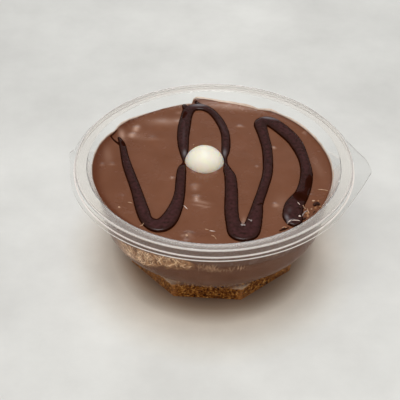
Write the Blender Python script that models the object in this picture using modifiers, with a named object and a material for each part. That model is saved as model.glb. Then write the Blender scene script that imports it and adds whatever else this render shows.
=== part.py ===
"""Kunafa dessert cup: a clear tub with an eight-sided foot, filled in layers.

Blender 4.5, metres, +Z up. The origin is on the tub's axis, at the ground.
From the bottom up: crumb in the foot, chocolate cream, fine kunafa strands,
milk chocolate with a dark chocolate drizzle, and a white chocolate ball.
"""
import math

import bmesh
import bpy
import numpy as np
from mathutils import Matrix, Vector, noise

OBJECT_NAME = "kunafa_cup"

# ---------------------------------------------------------------- the tub
SEGMENTS = 48                     # facets round every turned piece
ARC_STEPS = 4                     # facets round a corner of the tub's section
WALL = 0.0006
FOOT_SIDES = 8
FOOT_RADIUS = 0.0371              # to a corner of the foot, at the ground
FOOT_FLARE = 0.0010               # how much wider the foot is at its top
FOOT_HEIGHT = 0.0074
FOOT_TURN = math.radians(-115.9)  # azimuth of one corner
MOUTH_RADIUS = 0.0339             # round opening between the foot and the bowl
RIM_RADIUS = 0.0579
RIM_HEIGHT = 0.04723
FLANGE_RADIUS = 0.0600
FLANGE_TOP = 0.0441

# Upper face of the tub's section, from the foot to the flange: radius, height, rounding
TUB_SECTION = (
    (0.0342, 0.0072, 0.0),
    (0.0464, 0.0196, 0.0100),                     # shoulder
    (0.0494, 0.0412, 0.0070),                     # flare below the rim
    (0.0528, 0.0464, 0.0008),                     # inner edge of the ledge
    (RIM_RADIUS, RIM_HEIGHT, 0.0008),             # outer edge of the rim
    (RIM_RADIUS + 0.0001, FLANGE_TOP, 0.0002),    # foot of the skirt
    (FLANGE_RADIUS, FLANGE_TOP, 0.0),
)

# Outlines of the tabs outside the flange, x and y
LIFT_TAB = (
    (0.0571, 0.0184), (0.0590, 0.0148), (0.0616, 0.0098), (0.0637, 0.0064), (0.0648, 0.0026),
    (0.0657, -0.0022), (0.0656, -0.0034), (0.0605, -0.0142), (0.0541, -0.0262),
)
THUMB_TAB = ((-0.0598, 0.0094), (-0.0611, 0.0076), (-0.0609, 0.0040), (-0.0600, -0.0016))
TAB_INNER_RADIUS = 0.0586         # how far in the tabs' plates reach
TAB_ARC_STEPS = 8

# ---------------------------------------------------------------- the filling
CLEARANCE = 0.0003                # between pieces that touch
CRUMB_CUTS = 5                    # subdivisions of each side of the crumb block
CRUMB_RELIEF = 0.0005
CRUMB_PIT_SIZE = 0.0017
LAYER_GAP = 0.0005                # between the uneven faces of two layers
LAYER_RINGS = (0.0, 0.3, 0.6, 0.85, 1.0)
CREAM_LEVELS = (0.84, 0.68, 0.52, 0.38, 0.25, 0.14, 0.04)    # the last is in the foot's mouth
CREAM_TOP = 0.0270                # where the strands are thin
CREAM_RIPPLE = (0.016, 0.0008, 1.5)           # size and height of its humps, and their seed
STRAND_LEVELS = (0.8, 0.6, 0.4, 0.2)
STRAND_HEAP = (-0.040, -0.028)    # centre of the thick side of the strand layer
STRAND_HEAP_SPREAD = 0.022
STRAND_HEAP_DIP = 0.0065          # how far the heap sinks into the cream
STRAND_HEAP_RISE = 0.0095         # what the heap adds to the layer's thickness
STRAND_THICKNESS = 0.0026
STRAND_TAPER = 0.045              # loss of thickness towards +X
STRAND_LEAST = 0.0006
STRAND_RELIEF = 0.0006
STRAND_GRAINS = 9.0               # grains of the relief in a radian
STRAND_GRAIN_HEIGHT = 0.002
STRAND_SEED = 7.5
STRAND_REACH = 0.93               # share of the radius reached at the +X side

CHOCOLATE_RINGS = (0.0, 0.22, 0.44, 0.64, 0.8, 0.9, 0.972, 1.0)
CHOCOLATE_LEVELS = (0.9, 0.8, 0.65, 0.4)
CHOCOLATE_LEVEL = 0.0420          # height of its surface on the axis
CHOCOLATE_TILT = -0.024           # the surface is higher at -X
CHOCOLATE_RIPPLE = (0.022, 0.0003, 4.5)
CLIMB_START = 0.972               # share of the radius where it starts to climb the wall
# Height at which it meets the wall: azimuth in degrees, height in millimetres
CHOCOLATE_EDGE = (
    (-180, 43.0), (-150, 42.9), (-90, 42.4), (-40, 41.2), (-13, 40.2), (-6, 41.1), (7, 40.5), (18, 40.2),
    (40, 40.8), (52, 41.2), (60, 41.8), (67, 41.2), (78, 41.8), (88, 42.4), (95, 43.4), (99.5, 43.8),
    (101, 43.2), (102, 41.5), (108, 41.5), (114, 42.1), (120, 42.1), (130, 42.3), (138, 43.3), (147, 42.8),
    (154, 42.6), (164, 43.5), (173, 43.6), (180, 43.0),
)

BALL_RADIUS = 0.00815
BALL_CENTRE = Vector((-0.0040, 0.0047, 0.0409))
BALL_SEGMENTS = 24
BALL_RINGS = 14

# ---------------------------------------------------------------- drizzle and bits
# Each stroke's route by hand: x, y and width, in millimetres
STROKES = (
    ((-41.2, 20.0, 1.4), (-39.8, 16.4, 2.6), (-38.9, 12.6, 3.1), (-37.7, 6.2, 3.5), (-35.9, -1.2, 4.2),
     (-31.7, -15.5, 4.6), (-28.6, -27.6, 5.5), (-26.2, -35.0, 5.6), (-22.0, -38.2, 7.8),
     (-18.4, -35.6, 7.6), (-15.6, -28.0, 6.2), (-13.9, -18.2, 4.7), (-13.6, -6.8, 4.3),
     (-13.4, -1.0, 3.8), (-13.0, 1.5, 2.6), (-12.7, 3.4, 1.0)),
    ((-12.7, 3.4, 1.0), (-12.7, 6.0, 1.2), (-12.9, 11.4, 3.8), (-13.2, 15.8, 4.8), (-13.5, 22.8, 5.4),
     (-13.2, 30.5, 5.7), (-12.5, 37.5, 5.2), (-11.5, 42.4, 5.4), (-9.1, 44.8, 4.8), (-5.4, 45.0, 4.6),
     (-2.7, 43.4, 4.0), (-0.4, 40.6, 3.9), (2.6, 34.2, 4.0), (4.7, 26.0, 3.9), (5.1, 18.0, 4.0),
     (4.9, 12.4, 3.6), (4.8, 8.4, 1.8), (5.0, 4.0, 1.0)),
    ((5.0, 4.0, 1.0), (5.3, 1.8, 2.6), (5.8, -0.8, 3.8), (6.9, -5.4, 5.0), (7.3, -14.1, 5.5),
     (7.3, -27.4, 5.8), (8.0, -34.6, 6.2), (10.2, -41.0, 8.6), (13.6, -41.0, 8.6), (15.6, -36.6, 7.2),
     (17.2, -28.0, 5.6), (18.1, -22.2, 4.5), (20.5, -12.1, 4.3), (22.6, -0.8, 4.4), (22.8, 14.4, 4.6),
     (21.4, 25.6, 5.0), (20.4, 33.0, 6.0), (22.0, 35.8, 6.0), (25.6, 34.8, 7.0), (31.1, 28.2, 7.0),
     (35.4, 20.4, 6.3), (38.2, 8.6, 4.9), (38.8, -2.5, 5.4), (36.7, -13.8, 6.0), (32.9, -22.4, 7.8),
     (31.8, -28.8, 8.3), (32.0, -31.6, 7.6), (32.0, -33.4, 5.4), (32.0, -34.6, 2.6)),
)
DRIZZLE_SPACING = 0.0036
DRIZZLE_STEEPNESS = 0.6           # height of a thin line's back as a share of half its width
DRIZZLE_HEIGHT = 0.0011           # height of a wide line, whose back is flat
DRIZZLE_BEVEL_RESOLUTION = 2

# Lumps, crumbs and flakes on the chocolate, by hand: x, y, length, width in mm, azimuth
BITS = (
    (-34.3, 27.4, 2.4, 2.0, 40), (-35.7, 22.4, 2.2, 1.8, 100), (-6.9, -19.8, 2.4, 2.0, 20),
    (-7.6, -12.6, 2.0, 1.6, 70), (-9.7, -43.7, 3.2, 2.4, 10), (41.4, -20.6, 3.4, 1.8, 20),
    (38.3, -25.4, 3.2, 0.9, 125), (29.6, -37.8, 2.4, 1.4, 20), (26.8, -37.2, 1.6, 1.2, 0),
    (44.7, -11.7, 3.6, 0.9, 0), (0.8, -40.1, 3.0, 0.9, 165), (0.0, -43.2, 2.8, 0.9, 120),
    (-11.2, -25.8, 2.4, 0.9, 120), (-3.6, -23.6, 4.4, 0.9, 170),
)
BIT_SINK = 0.35                   # share of a bit's width below the surface

# ---------------------------------------------------------------- materials
FINISHES = {
    "bowl": ((0.90, 0.92, 0.93), 0.08),
    "crumb_base": ((0.27, 0.11, 0.03), 0.75),
    "cream_layer": ((0.14, 0.06, 0.035), 0.45),
    "strand_layer": ((0.50, 0.29, 0.14), 0.60),
    "chocolate_top": ((0.19, 0.075, 0.042), 0.30),
    "white_ball": ((0.90, 0.86, 0.74), 0.25),
}


# ---------------------------------------------------------------- helpers
def clear_scene():
    for item in list(bpy.data.objects):
        bpy.data.objects.remove(item)


def new_collection(name):
    group = bpy.data.collections.new(name)
    bpy.context.scene.collection.children.link(group)
    return group


def add_object(name, mesh, group):
    item = bpy.data.objects.new(name, mesh)
    group.objects.link(item)
    return item


def add_finish(item):
    """Give an object its own material, in the colour that the dessert shows."""
    colour, roughness = FINISHES[item.name]
    material = bpy.data.materials.new(item.name)
    material.use_nodes = True
    shader = material.node_tree.nodes["Principled BSDF"]
    shader.inputs["Base Color"].default_value = (*colour, 1.0)
    shader.inputs["Roughness"].default_value = roughness
    shader.inputs["Metallic"].default_value = 0.0
    if item.name == "bowl":
        shader.inputs["Transmission Weight"].default_value = 1.0
    item.data.materials.clear()
    item.data.materials.append(material)


def smooth(mesh, angle=35):
    mesh.shade_smooth()
    mesh.set_sharp_from_angle(angle=math.radians(angle))


def rounded(corners):
    """Replace each inner corner (x, y, rounding) of an open line by an arc."""
    points = [Vector(corners[0][:2])]
    for before, corner, after in zip(corners, corners[1:], corners[2:]):
        here = Vector(corner[:2])
        towards = (Vector(before[:2]) - here).normalized()
        onwards = (Vector(after[:2]) - here).normalized()
        half_angle = towards.angle(onwards) / 2
        if corner[2] == 0.0 or math.pi / 2 - half_angle < 0.01:
            points.append(here)
            continue
        bisector = (towards + onwards).normalized()
        centre = here + bisector * corner[2] / math.sin(half_angle)
        start = here + towards * corner[2] / math.tan(half_angle) - centre
        end = here + onwards * corner[2] / math.tan(half_angle) - centre
        sweep = start.angle_signed(end)
        for step in range(ARC_STEPS + 1):
            turn = Matrix.Rotation(-sweep * step / ARC_STEPS, 2)
            points.append(centre + turn @ start)
    points.append(Vector(corners[-1][:2]))
    return points


def offset_right(points, distance):
    """The same line, moved to its right by a distance, with mitred corners."""
    moved = []
    last = len(points) - 1
    for index, point in enumerate(points):
        ahead = (points[min(index + 1, last)] - points[min(index, last - 1)]).normalized()
        behind = (points[max(index, 1)] - points[max(index - 1, 0)]).normalized()
        normal_ahead = Vector((ahead.y, -ahead.x))
        normal_behind = Vector((behind.y, -behind.x))
        mitre = (normal_ahead + normal_behind).normalized()
        moved.append(point + mitre * distance / mitre.dot(normal_ahead))
    return moved


def turned(name, section, group, closed=False):
    """Turn a section (radius, height) about the Z axis; it runs down its outer side."""
    mesh = bpy.data.meshes.new(name)
    bm = bmesh.new()
    points = [bm.verts.new((radius, 0.0, height)) for radius, height in section]
    for start, end in zip(points, points[1:]):
        bm.edges.new((start, end))
    if closed:
        bm.edges.new((points[-1], points[0]))
    bm.to_mesh(mesh)
    bm.free()
    item = add_object(name, mesh, group)
    screw = item.modifiers.new("Turn", "SCREW")
    screw.steps = SEGMENTS
    screw.render_steps = SEGMENTS
    screw.use_merge_vertices = True
    screw.merge_threshold = 0.00001
    return item


def apply_modifiers(item):
    """Replace an object's mesh, or its curve, by the mesh that its modifiers make."""
    evaluated = item.evaluated_get(bpy.context.evaluated_depsgraph_get())
    return bpy.data.meshes.new_from_object(evaluated)


def prism(name, radius_low, radius_high, low, high, group):
    """An upright eight-sided block between two heights."""
    mesh = bpy.data.meshes.new(name)
    bm = bmesh.new()
    bmesh.ops.create_cone(bm, cap_ends=True, segments=FOOT_SIDES, radius1=radius_low,
                          radius2=radius_high, depth=high - low)
    place = Matrix.Translation((0.0, 0.0, (low + high) / 2)) @ Matrix.Rotation(FOOT_TURN, 4, "Z")
    bmesh.ops.transform(bm, matrix=place, verts=bm.verts)
    bm.to_mesh(mesh)
    bm.free()
    return add_object(name, mesh, group)


def join_by(item, other, operation):
    """Add a Boolean that joins another object to this one, or cuts it away."""
    boolean = item.modifiers.new(other.name, "BOOLEAN")
    boolean.operation = operation
    boolean.solver = "EXACT"
    boolean.object = other
    other.hide_render = True
    other.display_type = "WIRE"


# ---------------------------------------------------------------- tub
def foot_radius_at(height):
    return FOOT_RADIUS + FOOT_FLARE * height / FOOT_HEIGHT


def tab_plate(name, outline, group):
    """A flat plate with the given outer edge, whose inner edge is an arc in the flange."""
    first = Vector(outline[0])
    final = Vector(outline[-1])
    start = math.atan2(final.y, final.x)
    sweep = -Vector((math.cos(start), math.sin(start))).angle_signed(first)
    inner = []
    for step in range(TAB_ARC_STEPS + 1):
        azimuth = start + sweep * step / TAB_ARC_STEPS
        inner.append(TAB_INNER_RADIUS * Vector((math.cos(azimuth), math.sin(azimuth))))
    curve = bpy.data.curves.new(name, "CURVE")
    curve.dimensions = "2D"
    curve.fill_mode = "BOTH"
    curve.extrude = WALL / 2
    points = [Vector(corner) for corner in outline] + inner
    spline = curve.splines.new("POLY")
    spline.points.add(len(points) - 1)
    for slot, point in zip(spline.points, points):
        slot.co = (point.x, point.y, 0.0, 1.0)
    spline.use_cyclic_u = True
    guide = add_object(name + "_outline", curve, group)
    mesh = apply_modifiers(guide)
    bpy.data.objects.remove(guide)
    bm = bmesh.new()
    bm.from_mesh(mesh)
    bmesh.ops.remove_doubles(bm, verts=bm.verts, dist=0.000001)
    bmesh.ops.translate(bm, vec=(0.0, 0.0, FLANGE_TOP - WALL / 2), verts=bm.verts)
    bm.to_mesh(mesh)
    bm.free()
    return add_object(name, mesh, group)


def build_bowl(parts, cutters):
    """Thin clear wall, ledge, skirt and flange, with the eight-sided foot and the tabs."""
    upper = rounded(TUB_SECTION)
    under = offset_right(upper, WALL)
    bowl = turned("bowl", upper + under[::-1], parts, closed=True)
    foot = prism("foot_block", FOOT_RADIUS, foot_radius_at(FOOT_HEIGHT), 0.0, FOOT_HEIGHT, cutters)
    hollow_top = FOOT_HEIGHT - WALL
    hollow = prism("foot_hollow", foot_radius_at(WALL) - WALL, foot_radius_at(hollow_top) - WALL,
                   WALL, hollow_top, cutters)
    mouth = turned("foot_mouth", ((0.0, FOOT_HEIGHT + WALL), (MOUTH_RADIUS, FOOT_HEIGHT + WALL),
                                  (MOUTH_RADIUS, FOOT_HEIGHT / 2), (0.0, FOOT_HEIGHT / 2)), cutters)
    join_by(bowl, foot, "UNION")
    join_by(bowl, tab_plate("lift_tab", LIFT_TAB, cutters), "UNION")
    join_by(bowl, tab_plate("thumb_tab", THUMB_TAB, cutters), "UNION")
    join_by(bowl, hollow, "DIFFERENCE")
    join_by(bowl, mouth, "DIFFERENCE")
    smooth(bowl.data)
    add_finish(bowl)


# ---------------------------------------------------------------- filling
def contents_radius(height):
    """Radius of the filling at a height, a clearance inside the tub."""
    if height < FOOT_HEIGHT + CLEARANCE:
        return MOUTH_RADIUS - CLEARANCE
    section = rounded(TUB_SECTION)
    for low, high in zip(section, section[1:]):
        if low.y <= height <= high.y:
            share = (height - low.y) / (high.y - low.y)
            return low.x + (high.x - low.x) * share - CLEARANCE
    return section[0].x - CLEARANCE


def heap_share(x, y):
    """1 in the middle of the strand heap, falling to 0 away from it."""
    distance = math.hypot(x - STRAND_HEAP[0], y - STRAND_HEAP[1])
    return math.exp(-0.5 * (distance / STRAND_HEAP_SPREAD) ** 2)


def ripple(x, y, size, height, seed):
    """A smooth unevenness with humps of about the given size."""
    return height * noise.noise(Vector((x / size, y / size, seed)))


def cream_bottom(x, y):
    """The cream fills the round mouth of the foot."""
    return FOOT_HEIGHT - WALL


def cream_top(x, y):
    return CREAM_TOP - STRAND_HEAP_DIP * heap_share(x, y) + ripple(x, y, *CREAM_RIPPLE)


def strand_bottom(x, y):
    return cream_top(x, y) + LAYER_GAP


def strand_top(x, y):
    thickness = max(STRAND_LEAST, STRAND_THICKNESS - STRAND_TAPER * x)
    return strand_bottom(x, y) + thickness + STRAND_HEAP_RISE * heap_share(x, y)


def chocolate_bottom(x, y):
    return strand_top(x, y) + LAYER_GAP


def chocolate_top(x, y):
    """Height of the milk chocolate, which meets the wall at an uneven line."""
    flat = CHOCOLATE_LEVEL + CHOCOLATE_TILT * x + ripple(x, y, *CHOCOLATE_RIPPLE)
    outwards = math.hypot(x, y) / contents_radius(flat)
    share = max(0.0, (outwards - CLIMB_START) / (1 - CLIMB_START))
    azimuth = math.degrees(math.atan2(y, x))
    azimuths, heights = zip(*CHOCOLATE_EDGE)
    edge = 0.001 * float(np.interp(azimuth, azimuths, heights))
    return flat + min(1.0, share) * (edge - flat)


def drum(name, rings, levels, lower, upper, group, reach=lambda azimuth: 1.0, relief=0.0):
    """A round layer between two uneven surfaces, following the wall of the tub.

    It is turned as a drum of unit radius and height, then each point is moved
    to its share of the way out and up. Levels are the shares of the height at
    which the side has a ring of points, from the top down.
    """
    section = [(ring, 1.0) for ring in rings]
    section += [(1.0, level) for level in levels]
    section += [(ring, 0.0) for ring in reversed(LAYER_RINGS)]
    unit = turned(name + "_unit", section, group)
    mesh = apply_modifiers(unit)
    bpy.data.objects.remove(unit)
    for vertex in mesh.vertices:
        out = math.hypot(vertex.co.x, vertex.co.y)
        azimuth = math.atan2(vertex.co.y, vertex.co.x)
        share = vertex.co.z
        radius = contents_radius(CREAM_TOP) * out
        for _ in range(3):
            x = radius * math.cos(azimuth)
            y = radius * math.sin(azimuth)
            height = lower(x, y) * (1 - share) + upper(x, y) * share
            radius = contents_radius(height) * out * reach(azimuth)
        if out > 0.99:
            grain = Vector((azimuth * STRAND_GRAINS, height / STRAND_GRAIN_HEIGHT, STRAND_SEED))
            radius -= relief * (0.5 + 0.5 * noise.noise(grain))
        vertex.co = (radius * math.cos(azimuth), radius * math.sin(azimuth), height)
    mesh.name = name
    smooth(mesh, 60)
    return add_object(name, mesh, group)


def strand_reach(azimuth):
    """The strands meet the wall at -X and stop short of it at +X."""
    return 1.0 - (1.0 - STRAND_REACH) * (0.5 + 0.5 * math.cos(azimuth))


def build_crumb(parts):
    """The crumb block in the foot, pitted all round like pressed crumb."""
    low = WALL + CLEARANCE
    high = FOOT_HEIGHT - WALL - CLEARANCE
    inset = WALL + CLEARANCE / math.cos(math.pi / FOOT_SIDES)
    crumb = prism("crumb_base", foot_radius_at(low) - inset, foot_radius_at(high) - inset, low, high,
                  parts)
    bm = bmesh.new()
    bm.from_mesh(crumb.data)
    upright = [edge for edge in bm.edges if len({round(v.co.z, 5) for v in edge.verts}) == 2]
    level = [edge for edge in bm.edges if edge not in upright]
    bmesh.ops.subdivide_edges(bm, edges=upright + level, cuts=CRUMB_CUTS, use_grid_fill=True)
    for vertex in bm.verts:
        inwards = Vector((-vertex.co.x, -vertex.co.y, 0.0)).normalized()
        pit = 0.5 + 0.5 * noise.noise(vertex.co / CRUMB_PIT_SIZE)
        if low + CLEARANCE < vertex.co.z < high - CLEARANCE:
            vertex.co += inwards * CRUMB_RELIEF * pit
    bmesh.ops.triangulate(bm, faces=bm.faces)
    bm.to_mesh(crumb.data)
    bm.free()
    add_finish(crumb)


def build_cream(parts):
    cream = drum("cream_layer", LAYER_RINGS, CREAM_LEVELS, cream_bottom, cream_top, parts)
    add_finish(cream)


def build_strands(parts):
    strands = drum("strand_layer", LAYER_RINGS, STRAND_LEVELS, strand_bottom, strand_top, parts,
                   reach=strand_reach, relief=STRAND_RELIEF)
    add_finish(strands)


# ---------------------------------------------------------------- chocolate, drizzle and bits
def smooth_route(points):
    """Points of a smooth line through a stroke's own points, evenly spaced."""
    rows = [Vector(point) * 0.001 for point in points]
    ends = [2 * rows[0] - rows[1]] + rows + [2 * rows[-1] - rows[-2]]
    fine = []
    for before, start, end, after in zip(ends, ends[1:], ends[2:], ends[3:]):
        steps = max(1, round((end - start).length / DRIZZLE_SPACING))
        for step in range(steps):
            t = step / steps
            fine.append(0.5 * (2 * start + (end - before) * t
                               + (2 * before - 5 * start + 4 * end - after) * t ** 2
                               + (3 * start - before - 3 * end + after) * t ** 3))
    fine.append(rows[-1])
    return fine


def drizzle_stroke(name, points, group):
    """A flat-backed cord of chocolate, laid on the surface with its lower half sunk in it."""
    curve = bpy.data.curves.new(name, "CURVE")
    curve.dimensions = "3D"
    curve.bevel_depth = 1.0
    curve.bevel_resolution = DRIZZLE_BEVEL_RESOLUTION
    curve.use_fill_caps = True
    route = smooth_route(points)
    spline = curve.splines.new("POLY")
    spline.points.add(len(route) - 1)
    for slot, (x, y, width) in zip(spline.points, route):
        slot.co = (x, y, 0.0, 1.0)
        slot.radius = width / 2
    guide = add_object(name + "_route", curve, group)
    mesh = apply_modifiers(guide)
    bpy.data.objects.remove(guide)
    bm = bmesh.new()
    bm.from_mesh(mesh)
    bmesh.ops.remove_doubles(bm, verts=bm.verts, dist=0.000001)
    for vertex in bm.verts:
        rise = DRIZZLE_HEIGHT * math.tanh(DRIZZLE_STEEPNESS * vertex.co.z / DRIZZLE_HEIGHT)
        vertex.co.z = chocolate_top(vertex.co.x, vertex.co.y) + rise
    bm.to_mesh(mesh)
    bm.free()
    add_object(name, mesh, group)


def chocolate_bit(name, bit, group):
    """A lump, crumb or flake: a small rounded body, partly sunk in the chocolate."""
    x, y, length, width = (0.001 * size for size in bit[:4])
    mesh = bpy.data.meshes.new(name)
    bm = bmesh.new()
    bmesh.ops.create_icosphere(bm, subdivisions=1, radius=0.5)
    height = chocolate_top(x, y) + width * (0.5 - BIT_SINK)
    place = (Matrix.Translation((x, y, height)) @ Matrix.Rotation(math.radians(bit[4]), 4, "Z")
             @ Matrix.Diagonal((length, width, width, 1.0)))
    bmesh.ops.transform(bm, matrix=place, verts=bm.verts)
    bm.to_mesh(mesh)
    bm.free()
    add_object(name, mesh, group)


def ball_mesh(radius):
    mesh = bpy.data.meshes.new("ball")
    bm = bmesh.new()
    bmesh.ops.create_uvsphere(bm, u_segments=BALL_SEGMENTS, v_segments=BALL_RINGS, radius=radius)
    bmesh.ops.translate(bm, vec=BALL_CENTRE, verts=bm.verts)
    bm.to_mesh(mesh)
    bm.free()
    mesh.shade_smooth()
    return mesh


def build_chocolate(parts, cutters):
    """The milk chocolate with the drizzle and the bits fused on, and the ball's socket."""
    toppings = new_collection("toppings")
    chocolate = drum("chocolate_top", CHOCOLATE_RINGS, CHOCOLATE_LEVELS, chocolate_bottom, chocolate_top,
                     parts)
    for index, points in enumerate(STROKES):
        drizzle_stroke(f"drizzle_{index + 1}", points, toppings)
    for index, bit in enumerate(BITS):
        chocolate_bit(f"bit_{index + 1}", bit, toppings)
    fuse = chocolate.modifiers.new("Fuse", "BOOLEAN")
    fuse.operation = "UNION"
    fuse.operand_type = "COLLECTION"
    fuse.collection = toppings
    fuse.solver = "EXACT"
    fused = apply_modifiers(chocolate)
    chocolate.modifiers.clear()
    chocolate.data = fused
    for item in list(toppings.objects):
        bpy.data.objects.remove(item)
    bpy.data.collections.remove(toppings)
    socket = add_object("ball_socket", ball_mesh(BALL_RADIUS + CLEARANCE), cutters)
    join_by(chocolate, socket, "DIFFERENCE")
    add_finish(chocolate)


def build_ball(parts):
    ball = add_object("white_ball", ball_mesh(BALL_RADIUS), parts)
    add_finish(ball)


def main():
    clear_scene()
    parts = new_collection(OBJECT_NAME)
    cutters = new_collection("cutters")
    build_bowl(parts, cutters)
    build_crumb(parts)
    build_cream(parts)
    build_strands(parts)
    build_chocolate(parts, cutters)
    build_ball(parts)


main()
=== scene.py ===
"""Looks of the kunafa dessert cup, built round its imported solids. Metres, +Z up."""
import math
import random

import bmesh
import bpy
import numpy as np
from mathutils import Matrix, Vector, noise


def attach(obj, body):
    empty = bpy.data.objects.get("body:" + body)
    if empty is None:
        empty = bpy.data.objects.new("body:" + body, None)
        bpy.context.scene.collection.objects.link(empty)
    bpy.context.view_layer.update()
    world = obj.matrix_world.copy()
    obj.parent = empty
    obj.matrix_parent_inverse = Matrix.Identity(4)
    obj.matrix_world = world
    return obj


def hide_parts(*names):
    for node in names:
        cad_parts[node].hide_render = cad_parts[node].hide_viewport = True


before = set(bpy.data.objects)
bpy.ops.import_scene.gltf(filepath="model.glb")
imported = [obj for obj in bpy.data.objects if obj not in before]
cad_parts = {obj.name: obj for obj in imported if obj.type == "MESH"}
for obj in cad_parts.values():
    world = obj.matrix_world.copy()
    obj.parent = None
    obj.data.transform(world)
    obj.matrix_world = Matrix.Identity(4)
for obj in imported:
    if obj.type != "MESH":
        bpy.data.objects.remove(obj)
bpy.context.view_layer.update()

# ---------------------------------------------------------------- camera, in the 400 x 400 photograph
IMAGE_SIZE = 400  # pixels
FOCAL_PIXELS = 1162.85
TARGET = Vector((0.0, 0.0, 0.023))
TARGET_PIXEL = (213.37, 204.12)
CAMERA_DISTANCE = 0.5
CAMERA_ELEVATION = math.radians(38.978)
CAMERA_ROLL = math.radians(0.758)
SENSOR_WIDTH = 36.0  # millimetres

# ---------------------------------------------------------------- light
ROOM_FRONT = (0.90, 0.90, 0.886)
ROOM_BACK = (0.25, 0.25, 0.255)
ROOM_TURN = (0.1, 0.6)  # a direction's part along +Y at which the room starts to dim, and is dimmest
# Name, place, width and depth in metres, power in watts, colour
LAMPS = (
    ("ceiling_lamp", (-0.05, -0.25, 1.0), 1.0, 1.1, 2.55, (0.99, 0.99, 1.0)),
    ("ceiling_centre", (0.0, 0.28, 1.02), 0.30, 0.46, 1.9, (0.99, 0.99, 1.0)),
    ("far_window", (0.0, 1.15, 0.40), 0.52, 0.30, 0.6, (0.92, 0.96, 1.0)),
)

# Warm shade on the floor round the foot: distances from the axis, and tints by share of the way out
FLOOR_SHADE_START = 0.034
FLOOR_SHADE_END = 0.074
FLOOR_SHADE_NARROW = 1.12  # it is this much narrower at the sides than at the front
# Light that reaches the floor under the rim: where it is strongest, how wide, and how strong
GLOW_RADIUS = 0.054
GLOW_INNER = 0.009
GLOW_OUTER = 0.022
GLOW_ALL = 0.02
GLOW_LEFT = 0.18
FAR_START = 0.115  # beyond this the floor grows a little darker
FAR_REACH = 0.05
FAR_DIM = 0.13
# Painted light and shade on the floor, as softly brighter or darker places: azimuth from the front, radius in
# metres, half sizes of both, change
FLOOR_LIGHT_SPOTS = (
    (-62, 0.039, 24, 0.005, 0.3), (-82, 0.048, 16, 0.006, 0.14), (30, 0.041, 20, 0.006, -0.18),
    (91, 0.048, 14, 0.007, 0.24), (-36, 0.044, 10, 0.004, -0.14), (180, 0.19, 18, 0.04, 0.13),
    (-180, 0.19, 18, 0.04, 0.13),
)
FLOOR_STOPS = ((0.36, (0.655, 0.648, 0.62)), (0.64, (0.765, 0.76, 0.728)))
FLOOR_GRAIN = (14.0, 8.0, 0.62)  # scale, detail and roughness of its pattern
FLOOR_ROUGHNESS = 0.7
FLOOR_SEGMENTS = 180
FLOOR_RINGS = [0.001 * step for step in range(2, 120, 2)] + [0.14, 0.2, 0.3, 0.5, 1.0, 3.0]
FLOOR_SHADE = ((0.0, (0.24, 0.15, 0.10)), (0.15, (0.41, 0.29, 0.21)), (0.25, (0.59, 0.47, 0.38)),
               (0.40, (0.91, 0.81, 0.72)), (0.6, (0.96, 0.90, 0.84)), (0.8, (0.98, 0.96, 0.93)),
               (1.0, (0.98, 0.98, 0.98)))

# ---------------------------------------------------------------- the tub
TURN_SEGMENTS = 240
ARC_STEPS = 9
MERGE_DISTANCE = 0.000001
SHARP_ANGLE = math.radians(30)
WALL = 0.0006
FOOT_SIDES = 8
FOOT_RADIUS = 0.0371
FOOT_FLARE = 0.0010
FOOT_HEIGHT = 0.0074
FOOT_TURN = math.radians(-115.9)
FOOT_BEVEL = 0.0007
MOUTH_RADIUS = 0.0339
RIM_RADIUS = 0.0579
RIM_HEIGHT = 0.04723
FLANGE_RADIUS = 0.0600
FLANGE_TOP = 0.0441

# Upper face of the tub's section, from the foot to the flange: radius, height, rounding
TUB_SECTION = (
    (0.0342, 0.0072, 0.0),
    (0.0464, 0.0196, 0.0100),
    (0.0494, 0.0412, 0.0070),
    (0.0528, 0.0464, 0.0008),
    (RIM_RADIUS, RIM_HEIGHT, 0.0008),
    (RIM_RADIUS + 0.0001, FLANGE_TOP, 0.0002),
    (FLANGE_RADIUS, FLANGE_TOP, 0.0),
)
# Width of the frosted line beside the skirt's foot
FROST_LINE = 0.0005
# Its finishes: colour, roughness, refraction, transmission and sheen
TUB_PLASTICS = {
    "clear_plastic": ((0.995, 0.997, 0.99), 0.03, 1.5, 1.0, 0.0),
    "filled_plastic": ((0.995, 0.997, 0.99), 0.03, 1.2, 1.0, 0.12),
    # The shoulder's tan frosted finish stands in for a painted highlight on the foot's upper face
    "shoulder_highlight_plastic": ((0.95, 0.84, 0.74), 0.15, 1.5, 0.82, 0.0),
    "misty_plastic": ((0.96, 0.94, 0.91), 0.08, 1.5, 0.88, 0.0),
    "hazy_plastic": ((0.95, 0.92, 0.88), 0.10, 1.5, 0.90, 0.0),
    "frosted_plastic": ((0.95, 0.88, 0.83), 0.30, 1.5, 0.62, 0.0),
}
SHEEN_ROUGHNESS = 0.25
SHEEN_TINT = (1.0, 0.86, 0.74, 1.0)
OPEN_COLOUR = (0.96, 0.96, 0.96, 1.0)  # what the plastic leaves of lamps' light
# Finish of the tub's faces by where their middles lie: name, least and most radius, least and most height
TUB_FINISHES = (
    # The foot's upper face takes the tan finish of painted highlight
    ("shoulder_highlight_plastic", 0.0335, 0.0395, FOOT_HEIGHT - 0.0001, FOOT_HEIGHT + 0.0001),
    ("filled_plastic", 0.0, 0.0512, 0.0, 0.0415),
    ("hazy_plastic", 0.0531, 0.0573, 0.0450, 0.0480),
    ("misty_plastic", 0.0490, 0.0531, 0.0415, 0.0464),
    ("frosted_plastic", 0.0573, 0.0585, 0.0466, 0.0480),
    ("frosted_plastic", 0.0577, 0.0586, 0.0430, 0.0444),
)
MISTY_END = 0.0  # behind this the upper wall is clear
FLANGE_EDGE = 0.0597  # upright faces beyond this radius are frosted too
LIFT_TAB = (
    (0.0571, 0.0184), (0.0590, 0.0148), (0.0616, 0.0098), (0.0637, 0.0064), (0.0648, 0.0026),
    (0.0657, -0.0022), (0.0656, -0.0034), (0.0605, -0.0142), (0.0541, -0.0262),
)
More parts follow.
